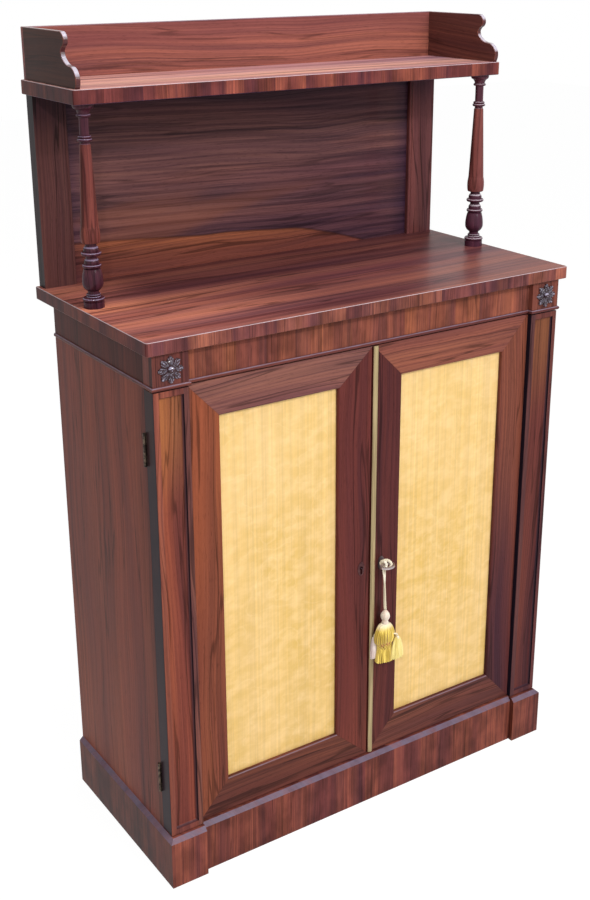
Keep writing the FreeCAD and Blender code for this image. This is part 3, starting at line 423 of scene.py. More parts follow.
# %% Boards
def board(name, grain, seed, line=1.0, warmth=0.6, **finishing):
    finish, x, y, z = begin(name)
    order = {"x": (x, z, y), "y": (y, z, x), "z": (z, x, y)}[grain]
    colour, relief = figure(finish, *order, seed, line, warmth)
    return polish(finish, colour, relief, **finishing)


def shelf_board(name, seed, width, tones, left, painted_light_tone=UNCHANGED):
    """Grain along the board on top and below, upright pieces on its edges.

    tones are those of the top, the underside and the edges, and painted_light_tone is a
    lighter tone at the left end and towards the front left corner, which is painted light. All
    were set by eye, and may hold some shine.
    """
    finish, x, y, z = begin(name)
    top_tone, under_tone, edge_tone = tones
    flat, flat_relief = figure(finish, x, y, z, seed, line=1.1, warmth=0.8)
    streaks = finish.noise((x * 1.1, y * 40 + seed, 0.5), 3, 0.65)
    streaked = streaks.span(0.34, 0.56)
    flat = finish.mix((0.62, 0.56, 0.62), (1.16, 1.18, 1.16), streaked).times(flat)
    edge, edge_relief = crossband(finish, x + y, z, y, seed, width)
    rise = finish.faces()[2]
    flat = flat.times(finish.mix(under_tone, top_tone, rise.span(-0.1, 0.1)))
    # painted light at the left end and towards the front left corner
    toward_corner = x.span(0.0, -0.30) * y.span(0.10, -0.10)
    flat = flat.times(painted_light_tone, toward_corner.most(x.span(-0.22, -0.36)))
    is_flat = abs(rise).span(0.5, 0.8)
    colour = finish.mix(edge.times(edge_tone), flat, is_flat)
    relief = finish.choose(edge_relief, flat_relief, is_flat)
    return polish(finish, colour, relief, rubbed=1.5, left=left, worn_tone=(0.40, 0.31, 0.33))


def facing(name, seed, width, **finishing):
    """Upright pieces of veneer all along, as on the frieze and the plinth."""
    finish, x, y, z = begin(name)
    colour, relief = crossband(finish, x + y, z, y, seed, width)
    return polish(finish, colour, relief, **finishing)


# %% [markdown]
# Three boards have a figure of their own. The veneer of the back panel is dark, with a lighter
# strip along its foot that is broad on the left and runs out on the right, and painted shade at
# its ends. On a pilaster the sunk field is redder than its margins and lighter towards its top,
# which is painted light; its hollow edge carries painted shade, and its side that looks left is
# nearly black with painted shade. A side panel has painted shade above the bead, under the top,
# and is a little darker near its front edge.


# %% The back panel
def low_corner(name):
    """The corner of a node's box with the smallest x, y and z."""
    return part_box(name)[0]


def back_panel_veneer(name, seed):
    finish, x, y, z = begin(name)
    colour, relief = figure(finish, x, z * 0.8 + x * 0.03, y, seed, line=0.7, warmth=0.55)
    strip = x.sum("SMOOTH_MIN", 0.0437 - x * 0.058, (0.232 - x) * 0.33, 0.03)
    ripple = finish.noise((x * 9, z * 3, 0.4))
    height = z - low_corner("back_panel").z - strip + (ripple - 0.5) * 0.006
    broad = finish.noise((x * 1.6, (z + x * 0.06) * 24, 0.3), 3, 0.6)
    broad = broad.span(0.36, 0.60)
    colour = colour.times(finish.mix((0.46, 0.68, 1.22), (0.64, 0.90, 1.42), broad))
    fine = finish.noise((x * 2.4, (z + x * 0.03) * 150, 0.7), 3, 0.6)
    fine = fine.span(0.34, 0.58)
    colour = colour.times(finish.mix((0.66, 0.64, 0.70), (1.18, 1.16, 1.14), fine))
    glow = finish.noise((x * 2.2, (z - x * 0.10) * 20, 0.9))
    glow = glow.span(0.50, 0.66) * height.span(0.15, 0.01)
    colour = finish.mix(colour, (0.24, 0.078, 0.042), glow * 0.32)
    # a lighter strip along the foot
    lighter_foot, _ = figure(finish, x, z, y, seed + 0.6, line=1.0, warmth=1.0)
    colour = finish.mix(lighter_foot, colour, height.span(-0.002, 0.002))
    line = 1 - (1 - abs(height).span(0.0008, 0.0032)) * 0.4
    # painted shade at the ends, beside the uprights
    end = abs(x).span(0.285, 0.330)
    colour = colour.times((0.58, 0.60, 0.86), end).times(line)
    return polish(finish, colour, relief, sheltered=low_corner("display_shelf").z)


# %% Pilasters
SUNK_FIELD = 0.0046  # how far the field lies behind the face of a pilaster


def pilaster_veneer(name, seed, tone):
    finish, x, y, z = begin(name)
    face = low_corner("left_pilaster").y
    colour, relief = figure(finish, z, x, y, seed, line=1.0, warmth=0.85)
    sunk = y.span(face + SUNK_FIELD - 0.0006, face + SUNK_FIELD)
    # painted shade in the hollow edge of the field
    hollow = y.span(face + 0.0003, face + 0.0012) * (1 - sunk)
    # painted shade, nearly black, on the side that looks left
    left_side = (-finish.faces()[0]).span(0.8, 0.95)
    inner_margin = abs(x).span(0.3290, 0.3270)
    shaded = abs(x).span(0.3325, 0.3285) * sunk
    # the field lighter towards its top: painted light
    upper = z.span(0.60, 0.76)
    field = finish.mix((0.84, 0.60, 0.66), (1.20, 1.16, 0.80), upper)
    margin = finish.mix((0.82, 0.68, 0.82), (0.60, 0.60, 0.84), inner_margin)
    colour = colour.times(finish.mix(margin, field, sunk)).times((0.45, 0.38, 0.52), shaded)
    colour = finish.mix(colour, (0.045, 0.018, 0.024), hollow * 0.75)
    colour = finish.mix(colour, (0.010, 0.007, 0.012), left_side * 0.94)
    return polish(finish, colour, relief, tone)


# %% Side panels
def side_veneer(name, seed, tone):
    finish, x, y, z = begin(name)
    colour, relief = figure(finish, z, y, x, seed, line=0.9, warmth=0.4)
    bead = low_corner("frieze_bead").z
    # painted shade above the bead, under the top's overhang
    colour = colour.times((0.40, 0.30, 0.32), z.span(bead, bead + 0.002))
    colour = colour.times((0.66, 0.68, 0.74), y.span(-0.085, -0.140))
    return polish(finish, colour, relief, tone, gloss=0.02)


# %% [markdown]
# Turned and carved work is darker: the rings of a column, the leaves of a patera and the edges of
# a scroll are nearly black with a cold tone and a glossier coat, while the long shaft between the
# rings stays red. A painted highlight lies on their slopes that look up and on the patera's
# flutes.


# %% Columns
RINGS_BELOW = 0.0950  # the lower rings end at this height over the main top
RINGS_ABOVE = 0.2366  # and the upper ones start at this one


def turned_wood(name, seed, tone):
    finish, x, y, z = begin(name)
    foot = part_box("main_top")[1].z
    colour, relief = figure(finish, z, x, y, seed, line=1.0, warmth=0.8)
    rings = z.span(foot + RINGS_BELOW + 0.0014, foot + RINGS_BELOW)
    rings = rings.most(z.span(foot + RINGS_ABOVE - 0.0008, foot + RINGS_ABOVE))
    rise = finish.faces()[2]
    # a painted highlight on the slopes of the rings that look up, all round
    crest_highlight = rise.span(0.36, 0.5) * (1 - rise.span(0.62, 0.76))
    colour = colour.times((0.42, 0.42, 0.80), rings)
    colour = finish.mix(colour, (0.62, 0.58, 0.60), crest_highlight * rings * 0.45)
    return polish(finish, colour, relief, tone=tone, gloss=0.03 + rings * 0.15)


# %% Pateras
BOSS_RADIUS = 0.0055


def carved_wood(name, seed, centre, leaves=8):
    """Fluted leaves round a centre (x, z), at either end of the frieze."""
    finish, x, y, z = begin(name)
    colour, _ = figure(finish, z, x, y, seed, line=0.6, warmth=0.3)
    over, up = abs(x) - centre[0], z - centre[1]
    turn = over.sum("ARCTAN2", up, over)
    out = (over * over + up * up).of("SQRT")
    flutes = (turn * (leaves * 3)).of("COSINE") * 0.5 + 0.5
    gaps = (turn * leaves).of("COSINE")
    leaf = out.span(BOSS_RADIUS, BOSS_RADIUS + 0.002) * gaps.span(-0.75, -0.30)
    # painted glints on the crests of the flutes, and a painted highlight where the boss looks up
    glint = finish.noise((x * 380, y * 380, z * 380))
    crest_highlight = flutes * leaf * glint.span(0.42, 0.60)
    rise = finish.faces()[2]
    boss = (1 - out.span(BOSS_RADIUS, BOSS_RADIUS + 0.001)) * rise.span(0.1, 0.4)
    colour = finish.mix(colour.times((0.22, 0.22, 0.44)), (0.30, 0.28, 0.37), crest_highlight.most(boss))
    return polish(finish, colour, flutes * leaf, gloss=0.7, depth=0.0009)


# %% Gallery ends
def scrolled_wood(name, seed, left):
    finish, x, y, z = begin(name)
    colour, relief = figure(finish, y, z, x, seed, line=0.8, warmth=0.6)
    side, _, rise = finish.faces()
    edge = 1 - abs(side).span(0.5, 0.8)
    shine = rise.span(0.25, 0.60) * (1 - rise.span(0.93, 0.99)) * edge
    colour = colour.times((0.42, 0.36, 0.55), edge)
    colour = finish.mix(colour, (0.52, 0.48, 0.56), shine * 0.75)
    return polish(finish, colour, relief, gloss=0.02 + edge * 0.5, left=left)


# %% [markdown]
# The veneer of a door frame is mitred: the figure of the upright stiles and of the rails meets in
# a slanting line at each corner. The line runs from the corner of the frame to the corner of the
# silk, so a point belongs to a stile where its share of the stile's width is the smaller one.


# %% Door frames
DOOR_HEIGHTS = (0.088, 0.805)
SILK_HEIGHTS = (0.145, 0.7495)


def door_veneer(name, outer, inner, seed, tones):
    """outer and inner are the x of the frame's sides and of the silk's.

    tones are those of the hinge stile, the meeting stile, the top rail and the bottom rail.
    """
    finish, x, y, z = begin(name)
    (left, right), (silk_left, silk_right) = sorted(outer), sorted(inner)
    (low, high), (silk_low, silk_high) = DOOR_HEIGHTS, SILK_HEIGHTS
    from_left = (x - left) / (silk_left - left)
    from_right = (right - x) / (right - silk_right)
    from_low = (z - low) / (silk_low - low)
    from_high = (high - z) / (high - silk_high)
    side, end = from_left.least(from_right), from_low.least(from_high)
    stile, stile_relief = figure(finish, z, x, y, seed, line=1.0, warmth=0.75)
    rail, rail_relief = figure(finish, x, z, y, seed + 0.37, line=1.0, warmth=0.75)
    hinge, meeting, top, bottom = tones
    toward_meeting = abs(x).span(0.20, 0.10)
    foot = z.span(0.62, 0.18) * (1 - toward_meeting)
    stile = stile.times(finish.mix(hinge, meeting, toward_meeting))
    stile = stile.times((0.66, 0.66, 0.94), foot)
    rail = rail.times(finish.mix(bottom, top, z.span(0.4, 0.6)))
    is_stile = (end - side).span(-0.004, 0.004)
    joint = 1 - (1 - abs(end - side).span(0.003, 0.012)) * 0.22
    colour = finish.mix(rail, stile, is_stile).times(joint)
    return polish(finish, colour, finish.choose(rail_relief, stile_relief, is_stile), rubbed=0.6)


# %% [markdown]
# ## Plainer finishes
# The back, the shelf inside and the boards behind the silk are planed softwood. The brass and
# the steel are old, with patches of tarnish over the bright metal.


# %% Softwood
def softwood(name, grain, board_width=1.0):
    """Boards side by side, each board_width wide, with a dark joint between them."""
    finish, x, y, z = begin(name)
    along, across, through = {"x": (x, z, y), "z": (z, x, y)}[grain]
    boards = across / board_width + 0.5
    number = boards.of("FLOOR")
    value = finish.chance(number + 3)
    bend = finish.noise((along * 1.2 + value * 7, across * 5, through * 5))
    place = across + (bend - 0.5) * 0.05
    rings = finish.noise((along * 0.4 + value * 5, place * 130, through * 40), 3, 0.6)
    fine = finish.noise((along * 9, place * 700, through * 300))
    colour = finish.mix((0.25, 0.135, 0.062), (0.37, 0.215, 0.105), rings.span(0.32, 0.68))
    near, edge = (0.5 - gap / board_width for gap in (0.0011, 0.0004))
    dark = 1 - abs(boards - number - 0.5).span(near, edge) * 0.75
    tone = (0.80 + fine * 0.22 + value * 0.14) * dark
    finish.set(
        Base_Color=colour.times(tone),
        Roughness=0.62 + fine * 0.15,
    )
    finish.bump(fine * 0.4 + dark * 0.6, 0.0002)
    return finish.material


# %% Metals
def metal(name, bright, tarnish, roughness, scale, drawn=1.0):
    """Patches of tarnish over bright metal; a small drawn stretches them upright."""
    finish = Finish(name, Metallic=1.0)
    x, y, z = finish.place()
    patches = finish.noise((x * scale, y * scale, z * scale * drawn), 3)
    scratches = finish.noise((x * 900, y * 900, z * 40))
    age = patches.span(0.36, 0.64)
    finish.set(
        Base_Color=finish.mix(bright, tarnish, age),
        Roughness=roughness + age * 0.18 + scratches * 0.1,
    )
    finish.bump(scratches, 0.00003)
    return finish.material


brass = metal("old_brass", (0.38, 0.27, 0.16), (0.22, 0.15, 0.09), roughness=0.38, scale=45)
strip_brass = metal(
    "strip_brass", (0.52, 0.41, 0.23), (0.36, 0.28, 0.155), roughness=0.46, scale=320, drawn=0.03
)
hinge_brass = metal(
    "hinge_brass", (0.15, 0.11, 0.08), (0.035, 0.028, 0.026), roughness=0.42, scale=200
)
dark_brass = metal(
    "blackened_brass", (0.16, 0.12, 0.12), (0.075, 0.055, 0.06), roughness=0.36, scale=130
)
key_steel = metal("key_steel", (0.66, 0.57, 0.56), (0.40, 0.33, 0.33), roughness=0.30, scale=160)
stained_brass = metal(
    "stained_brass", (0.13, 0.06, 0.06), (0.085, 0.036, 0.038), roughness=0.46, scale=130
)
steel = metal("dark_steel", (0.36, 0.33, 0.33), (0.22, 0.19, 0.20), roughness=0.34, scale=90)

# %% [markdown]
# ## Finishes on the CAD pieces
# Each piece gets a seed of its own, so that no two boards show the same figure.

# %% Give every node its finish
BACK_BOARDS = 5
pine_along, pine_up = softwood("softwood_along", "x"), softwood("softwood_up", "z")
back_low, back_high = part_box("back_boards")
back_pine = softwood("back_softwood", "z", (back_high.x - back_low.x) / BACK_BOARDS)
trim = board(
    "trim_rosewood", "x", 4.1, line=1.0, warmth=0.3, tone=(0.66, 0.62, 0.75), gloss=0.12,
    rubbed=0.8,
)
shelf_foot = low_corner("display_shelf").z
patera = (0.347, 0.835)
top_tones = ((0.72, 0.76, 1.08), (0.8, 0.9, 1.0), (0.92, 0.98, 1.25))
# the display shelf's pale, grey top tone is a painted reflection
shelf_tones = ((2.6, 4.4, 6.0), (0.52, 1.15, 3.4), (0.82, 0.72, 0.92))
# The left tones below, with the third argument of scrolled_wood, paint shade on faces that look
# left.
finishes = {
    "main_top": shelf_board(
        "top_rosewood", 0.3, width=0.060, tones=top_tones, left=(0.56, 0.40, 0.40),
        painted_light_tone=(2.5, 2.6, 2.1),
    ),
    "display_shelf": shelf_board(
        "shelf_rosewood", 1.7, width=0.055, tones=shelf_tones, left=(0.50, 0.40, 0.44)
    ),
    "gallery_back": board(
        "gallery_rosewood", "x", 2.2, line=0.7, warmth=0.9, tone=(1.10, 1.17, 1.58), rubbed=1.0
    ),
    "gallery_end_left": scrolled_wood("gallery_end_rosewood", 3.4, (0.24, 0.22, 0.20)),
    "gallery_end_right": scrolled_wood("gallery_end_rosewood_right", 5.9, (0.60, 0.66, 0.80)),
    "back_panel": back_panel_veneer("back_panel_rosewood", 6.3),
    "upright_left": board(
        "upright_rosewood", "z", 7.7, line=1.3, warmth=0.4, tone=(0.42, 0.52, 0.80),
        left=(0.3, 0.4, 0.5), sheltered=shelf_foot,
    ),
    "upright_right": board(
        "upright_rosewood_right", "z", 8.2, line=1.2, warmth=0.4, tone=(1.0, 1.10, 1.45),
        sheltered=shelf_foot,
    ),
    # the right column's lighter tone is painted light
    "column_left": turned_wood("column_rosewood", 9.6, (0.70, 0.60, 0.86)),
    "column_right": turned_wood("column_rosewood_right", 10.4, (1.5, 1.42, 1.5)),
    "side_panel_left": side_veneer("side_rosewood", 11.5, (1.1, 0.93, 0.84)),
    "side_panel_right": side_veneer("side_rosewood_right", 12.3, (1.0, 0.95, 0.95)),
    "frieze_rail": facing("frieze_rosewood", 13.1, 0.050),
    "frieze_block_left": board(
        "block_rosewood", "z", 14.6, line=1.0, warmth=0.3, tone=(0.8, 0.8, 0.9),
        left=(0.36, 0.34, 0.40),
    ),
    "frieze_block_right": board(
        "block_rosewood_right", "z", 15.2, warmth=0.3, tone=(0.8, 0.8, 0.9)
    ),
    "frieze_bead": trim,
    "patera_left": carved_wood("patera_rosewood", 16.1, patera),
    "patera_right": carved_wood("patera_rosewood_right", 17.8, patera),
    "left_pilaster": pilaster_veneer("pilaster_rosewood", 18.3, (1.18, 1.36, 1.30)),
    "right_pilaster": pilaster_veneer("pilaster_rosewood_right", 19.9, (0.74, 0.90, 1.02)),
    "back_boards": back_pine,
    "meeting_bead": strip_brass,
    "left_escutcheon": stained_brass,
    "right_escutcheon": dark_brass,
    "key": key_steel,
    **dict.fromkeys(("bottom_board", "inner_shelf", "top_rail", "plinth_back"), pine_along),
    **dict.fromkeys(("left_silk_board", "right_silk_board", "plinth_glue_blocks"), pine_up),
    **dict.fromkeys(("lock_case", "lock_bolt"), steel),
}
plinth = facing(
    "plinth_rosewood", 20.5, 0.060, rubbed=0.8, tone=(0.74, 0.66, 0.84), left=(0.60, 0.56, 0.52),
    worn_tone=(0.15, 0.125, 0.180),
)
left_door = door_veneer(
    "left_door_rosewood", outer=(-0.319, 0.002), inner=(-0.2665, -0.060), seed=21.3,
    tones=((1.46, 1.36, 0.88), (0.72, 0.58, 0.66), (0.84, 1.1, 1.55), (0.55, 0.55, 0.65)),
)
right_door = door_veneer(
    "right_door_rosewood", outer=(0.319, 0.004), inner=(0.2665, 0.060), seed=22.8,
    tones=((0.72, 0.70, 0.8), (0.62, 0.52, 0.62), (0.9, 0.95, 1.15), (0.66, 0.70, 0.80)),
)
for name, node in nodes.items():
    if name in finishes:
        chosen = finishes[name]
    elif name.startswith("plinth"):
        chosen = plinth
    elif name.endswith("hinge_leaves"):
        chosen = hinge_brass
    elif name.endswith(("stile", "rail")):
        chosen = left_door if name.startswith("left") else right_door
    else:
        chosen = brass
    node.data.materials.clear()
    node.data.materials.append(chosen)
print(len(nodes), "CAD pieces have their finishes")

# %% [markdown]
# ## Silk
# Each door holds golden silk, stretched over a thin board and tacked behind the frame. Stretched
# cloth is nearly flat, with faint cockles where the pull is uneven, so a fine grid with a low
# relief is enough and a simulation would add nothing. Thicker threads, called slubs, run upright.


# %% Silk finish
def silk(name):
    finish, x, y, z = begin(name)
    slubs = finish.noise((x * 260, y * 9, z * 2.2), 3, 0.65)
    cross = finish.noise((x * 25, y * 9, z * 600))
    cockles = finish.noise((x * 34 + z * 26, y * 9, z * 58 - x * 20), 3, 0.6)
    creases = abs(finish.noise((x * 13 - z * 9, y * 9, z * 16 + x * 6)) - 0.5)
    cloud = finish.noise((x * 7, y * 9, z * 4))
    height = z.span(0.30, 0.78)
    colour = finish.mix((0.65, 0.41, 0.100), (0.77, 0.52, 0.200), cockles.span(0.28, 0.76))
    warm = cloud.span(0.40, 0.75) * 0.35 + height * 0.3
    colour = finish.mix(colour, (0.82, 0.56, 0.27), warm)
    colour = finish.mix(colour, (0.90, 0.68, 0.38), (1 - creases.span(0.0, 0.014)) * 0.14)
    shade = 0.86 + slubs.span(0.25, 0.75) * 0.18 + (cross - 0.5) * 0.05
    finish.set(
        Base_Color=colour.times(shade),
        Roughness=0.50 + slubs * 0.16,
        Sheen_Weight=0.15,
        Sheen_Roughness=0.4,
    )
    finish.bump(slubs * 0.6 + cockles * 0.4, 0.00025)
    return finish.material


# %% A smooth mesh of points and faces
def solid(name, points, faces, material):
    mesh = bpy.data.meshes.new(name)
    mesh.from_pydata(points, [], faces)
    for face in mesh.polygons:
        face.use_smooth = True
    mesh.materials.append(material)
    return new_object(name, mesh)


# %% Stretched cloth
SILK_GAP = 0.0004  # how far the cloth lies in front of the rear face of the CAD silk
COCKLE_DEPTH = 0.0005
FLAT_EDGE = 0.03  # the cockles fade out over this width


def stretched(name, node, seed, body, columns=64, rows=180, thickness=0.0005):
    """Cloth in place of a node, with cockles that fade out towards its edges."""
    low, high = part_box(node)
    chance = random.Random(seed)
    limits = ((6, 30), (20, 90), (0, 6.28), (0.3, 1))
    waves = [tuple(chance.uniform(*limit) for limit in limits) for _ in range(10)]
    total = sum(wave[3] for wave in waves)
    points = []
    for row in range(rows + 1):
        z = low.z + (high.z - low.z) * row / rows
        for column in range(columns + 1):
            x = low.x + (high.x - low.x) * column / columns
            edge = min(x - low.x, high.x - x, z - low.z, high.z - z) / FLAT_EDGE
            cockle = sum(a * math.sin(f * x + g * z + p) for f, g, p, a in waves) / total
            lift = COCKLE_DEPTH * min(1, edge) * (0.5 + 0.5 * cockle)
            points.append((x, high.y - SILK_GAP - lift, z))
    width = columns + 1
    faces = [
        (r * width + c, r * width + c + 1, (r + 1) * width + c + 1, (r + 1) * width + c)
        for r in range(rows)
        for c in range(columns)
    ]
    made = solid(name, points, faces, golden)
    wall = made.modifiers.new("thickness", "SOLIDIFY")
    wall.thickness, wall.offset = thickness, -1
    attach(made, body)
    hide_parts(node)


golden = silk("golden_silk")
stretched("left_silk_cloth", "left_silk", 5, "left door")
stretched("right_silk_cloth", "right_silk", 9, "right door")

# %% [markdown]
# ## Thread
# The cord and the tassel are twisted thread. The twist is only relief and shade on each strand.


# %% Thread finish
def thread(name, pale_colour, deep_colour, neck=None):
    """Thread of two tones; above the height neck it fades to cream."""
    finish, x, y, z = begin(name)
    twist = finish.noise((x * 500, y * 500, z * 1500))
    tone = finish.noise((x * 160, y * 160, z * 30))
    colour = finish.mix(deep_colour, pale_colour, tone.span(0.35, 0.65))
    if neck:
        colour = finish.mix(colour, (0.86, 0.78, 0.60), z.span(neck, neck + 0.012) * 0.85)
    finish.set(
        Base_Color=colour.times(0.8 + twist * 0.36),
        Roughness=0.6,
        Sheen_Weight=0.3,
    )
    finish.bump(twist, 0.0003)
    return finish.material


cream = thread("cream_thread", (0.86, 0.80, 0.66), (0.66, 0.57, 0.40))
gold = thread("gold_thread", (0.84, 0.62, 0.11), (0.50, 0.33, 0.025), neck=0.3225)
lemon = thread("lemon_thread", (0.86, 0.72, 0.26), (0.66, 0.50, 0.12))
head_cream = thread("head_thread", (0.86, 0.76, 0.64), (0.62, 0.47, 0.37))
amber = thread("amber_thread", (0.42, 0.25, 0.05), (0.26, 0.13, 0.03))
russet = thread("russet_thread", (0.62, 0.26, 0.07), (0.42, 0.15, 0.04))
rose_cream = thread("rose_cream_thread", (0.84, 0.74, 0.68), (0.66, 0.52, 0.48))

# %% [markdown]
# ## Bunches of thread with Geometry Nodes
# A tassel's skirt is a hundred threads that start on a ring and end on a wider one. That is a
# rule, so a tree makes it: points on the ring, one line on each, and a formula that moves every
# point of every line out and down. Both rings are ovals, because the tassel lies flat against
# the door. Thick threads that fall like a dome make the bell of loops, and thin ones with a twist
# to the left and to the right make the net over the band.


# %% The start and the end of a tree
def start_group(name, kinds):
    """A tree that takes inputs of those kinds, and the method that gets one of them."""
    group = bpy.data.node_groups.new(name, "GeometryNodeTree")
    for socket, kind in kinds.items():
        group.interface.new_socket(socket, in_out="INPUT", socket_type="NodeSocket" + kind)
    group.interface.new_socket("Geometry", in_out="OUTPUT", socket_type="NodeSocketGeometry")
    t = Tree(group)
    return t, t.node("NodeGroupInput").out


def end_group(t, copies, material):
    real = t.node("GeometryNodeRealizeInstances", (copies,))
    dressed = t.node("GeometryNodeSetMaterial", {"Geometry": real, "Material": material})
    t.node("NodeGroupOutput", (dressed,))
    return t.tree


# %% A tree that grows threads
def thread_tree():
    sizes = ["Centre X", "Centre Y", "Top", "Foot"]
    sizes += ["Top Wide", "Top Deep", "Foot Wide", "Foot Deep"]
    shapes = ["Dome", "Bulge", "Inside", "Uneven", "Twist", "Curl", "Radius"]
    kinds = {"Strands": "Int", "Seed": "Int", **dict.fromkeys(sizes + shapes, "Float")}
    t, get = start_group("threads", {**kinds, "Thread": "Material"})
    points = t.node("GeometryNodePoints", {"Count": get("Strands")})
    index = t.node("GeometryNodeInputIndex")
    draws = {"ID": index, "Seed": get("Seed")}
    chance = t.node("FunctionNodeRandomValue", draws, data_type="FLOAT_VECTOR")
    angle = (index + t.split(chance)[0] * 0.6) / get("Strands") * math.tau
    kept = t.node("GeometryNodeCaptureAttribute", {"Geometry": points})
    store = kept.socket.node
    store.capture_items.new("FLOAT", "angle")
    store.capture_items.new("VECTOR", "chance")
    t.tree.links.new(angle.socket, store.inputs["angle"])
    t.tree.links.new(chance.socket, store.inputs["chance"])
    line = t.node("GeometryNodeCurvePrimitiveLine", {"End": (0, 0, 1)})
    line = t.node("GeometryNodeResampleCurve", {"Curve": line, "Count": 13})
    copies = t.node("GeometryNodeInstanceOnPoints", {"Points": kept, "Instance": line})
    lines = t.node("GeometryNodeRealizeInstances", (copies,))

    _, random_in, random_fall = t.split(Wire(t, store.outputs["chance"]))
    down = t.node("GeometryNodeSplineParameter")
    spread = down.sum("POWER", down, get("Dome"))
    swell = (1 + get("Bulge") * (down * math.pi).of("SINE")) * (1 - get("Inside") * random_in)
    curl = get("Curl") * down.sum("POWER", down, 8)
    wide = (get("Top Wide") + (get("Foot Wide") - get("Top Wide")) * spread) * swell - curl
    deep = (get("Top Deep") + (get("Foot Deep") - get("Top Deep")) * spread) * swell - curl
    turn = Wire(t, store.outputs["angle"]) + get("Twist") * down
    x = get("Centre X") + wide * turn.of("COSINE")
    y = get("Centre Y") + deep * turn.of("SINE")
    fall = (get("Top") - get("Foot")) * (1 - random_fall * get("Uneven"))
    place = t.vector(x, y, get("Top") - fall * down)
    lines = t.node("GeometryNodeSetPosition", {"Geometry": lines, "Position": place})
    section = {"Resolution": 6, "Radius": get("Radius")}
    ring = t.node("GeometryNodeCurvePrimitiveCircle", section)
    tube = {"Curve": lines, "Profile Curve": ring, "Fill Caps": True}
    tubes = t.node("GeometryNodeSetShadeSmooth", (t.node("GeometryNodeCurveToMesh", tube),))
    return end_group(t, tubes, get("Thread"))


# %% Turn a tree's result into a plain mesh
def grow(name, group, points=(), **sizes):
    seed = bpy.data.meshes.new(name)
    seed.from_pydata(list(points), [], [])
    made = new_object(name, seed)
    modifier = made.modifiers.new("grow", "NODES")
    modifier.node_group = group
    wanted = {key.replace("_", " "): value for key, value in sizes.items()}
    for socket in group.interface.items_tree:
        if socket.in_out == "INPUT" and socket.name in wanted:
            modifier[socket.identifier] = wanted[socket.name]
    bpy.context.view_layer.update()
    ready = made.evaluated_get(bpy.context.evaluated_depsgraph_get())
    mesh = bpy.data.meshes.new_from_object(ready)
    made.modifiers.remove(modifier)
    made.data = mesh
    print(name, "has", len(mesh.polygons), "faces")
    return made


threads = thread_tree()

# %% [markdown]
# ## Turned and twisted forms
# The tassel's head is turned wood wound with thread, so it is a profile spun round an axis, with
# fine ribs that lean. A cord is a tube whose section has two lobes that turn as it runs, which is
# what a two-ply twist looks like.


# %% Faces between rings of points
def tube_faces(first, rings, around):
    """Quads from ring to ring and a cap at each end. first is the number of the first point."""
    faces = []
    for low in range(first, first + (rings - 1) * around, around):
        for step in range(around):
            a, b = low + step, low + (step + 1) % around
            faces.append((a, b, b + around, a + around))
    last = first + (rings - 1) * around
    faces.append(tuple(reversed(range(first, first + around))))
    faces.append(tuple(range(last, last + around)))
    return faces


# %% A form spun round an upright axis
def spun(name, centre, profile, material, ribs=0, depth=0.0, lean=0.0, around=72):
    """profile is a list of (radius, height) from the foot up, closed at both ends."""
    points = []
    for radius, height in profile:
        for step in range(around):
            angle = math.tau * step / around
            groove = 1 - depth * (0.5 + 0.5 * math.cos(ribs * (angle + lean * height)))
            x, y = radius * groove * math.cos(angle), radius * groove * math.sin(angle)
            points.append((centre[0] + x, centre[1] + y, height))
    return solid(name, points, tube_faces(0, len(profile), around), material)


# %% A smooth line through a few points
def smooth_line(points):
    data = bpy.data.curves.new("route", "CURVE")
    data.dimensions = "3D"
    data.resolution_u = 16
    spline = data.splines.new("NURBS")
    spline.points.add(len(points) - 1)
    for point, place in zip(spline.points, points):
        point.co = (*place, 1)
    spline.order_u = 3
    spline.use_endpoint_u = True
    route = bpy.data.objects.new("route", data)
    line = [vertex.co.copy() for vertex in bpy.data.meshes.new_from_object(route).vertices]
    bpy.data.objects.remove(route)
    return line


# %% Twisted cord
def twisted(name, lines, radius, material, pitch=0.006, around=12):
    """A tube along each line, with two lobes that make one turn in each pitch."""
    points, faces = [], []
    for line in lines:
        first, side, run = len(points), Vector((0, 1, 0)), 0.0
        for number, place in enumerate(line):
            before, after = line[max(0, number - 1)], line[min(len(line) - 1, number + 1)]
            ahead = (after - before).normalized()
            run += (place - before).length
            side = (side - ahead * side.dot(ahead)).normalized()
            up = ahead.cross(side)
            for step in range(around):
                angle = math.tau * step / around
                lobe = 1 + 0.12 * math.cos(2 * (angle - math.tau * run / pitch))
                out = side * math.cos(angle) + up * math.sin(angle)
                points.append(place + out * radius * lobe)
        faces += tube_faces(first, len(line), around)
    return solid(name, points, faces, material)


# %% [markdown]
# ## The tassel
# From the top: a hitch of cord round the key's bow, a doubled cream cord, a cream head, a bell of
# gold loops, a netted band and a skirt of gold thread, with a small tassel on each side. The
# places come from the CAD boxes, so that the tassel stays on its cord.

# %% Where the tassel hangs
cord_low, cord_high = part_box("tassel_cord")
skirt_low, skirt_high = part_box("tassel_skirt")
hang = ((cord_low.x + cord_high.x) / 2, (cord_low.y + cord_high.y) / 2)
middle = ((skirt_low.x + skirt_high.x) / 2, (skirt_low.y + skirt_high.y) / 2)
print("the tassel hangs at", [round(v, 4) for v in hang])

# %% Doubled cord
route = [(hang[0] - 0.0003, -0.1713, 0.4340), (hang[0] - 0.0001, -0.1728, 0.4180),
         (hang[0] - 0.0003, -0.1740, 0.3980), (hang[0] - 0.0006, -0.1755, 0.3760),
         (hang[0] - 0.0006, hang[1], 0.3590)]
centre_line = smooth_line(route)
strands = []
for half in (0, math.pi):
    strand = []
    for number, place in enumerate(centre_line):
        share = number / (len(centre_line) - 1)
        apart = 0.0021 - 0.0012 * min(1, share * 1.3)
        angle = half + 2.4 * share
        strand.append(place + Vector((math.cos(angle), math.sin(angle), 0)) * apart)
    strands.append(strand)
cord = twisted("tassel_doubled_cord", strands, radius=0.00145, material=cream)

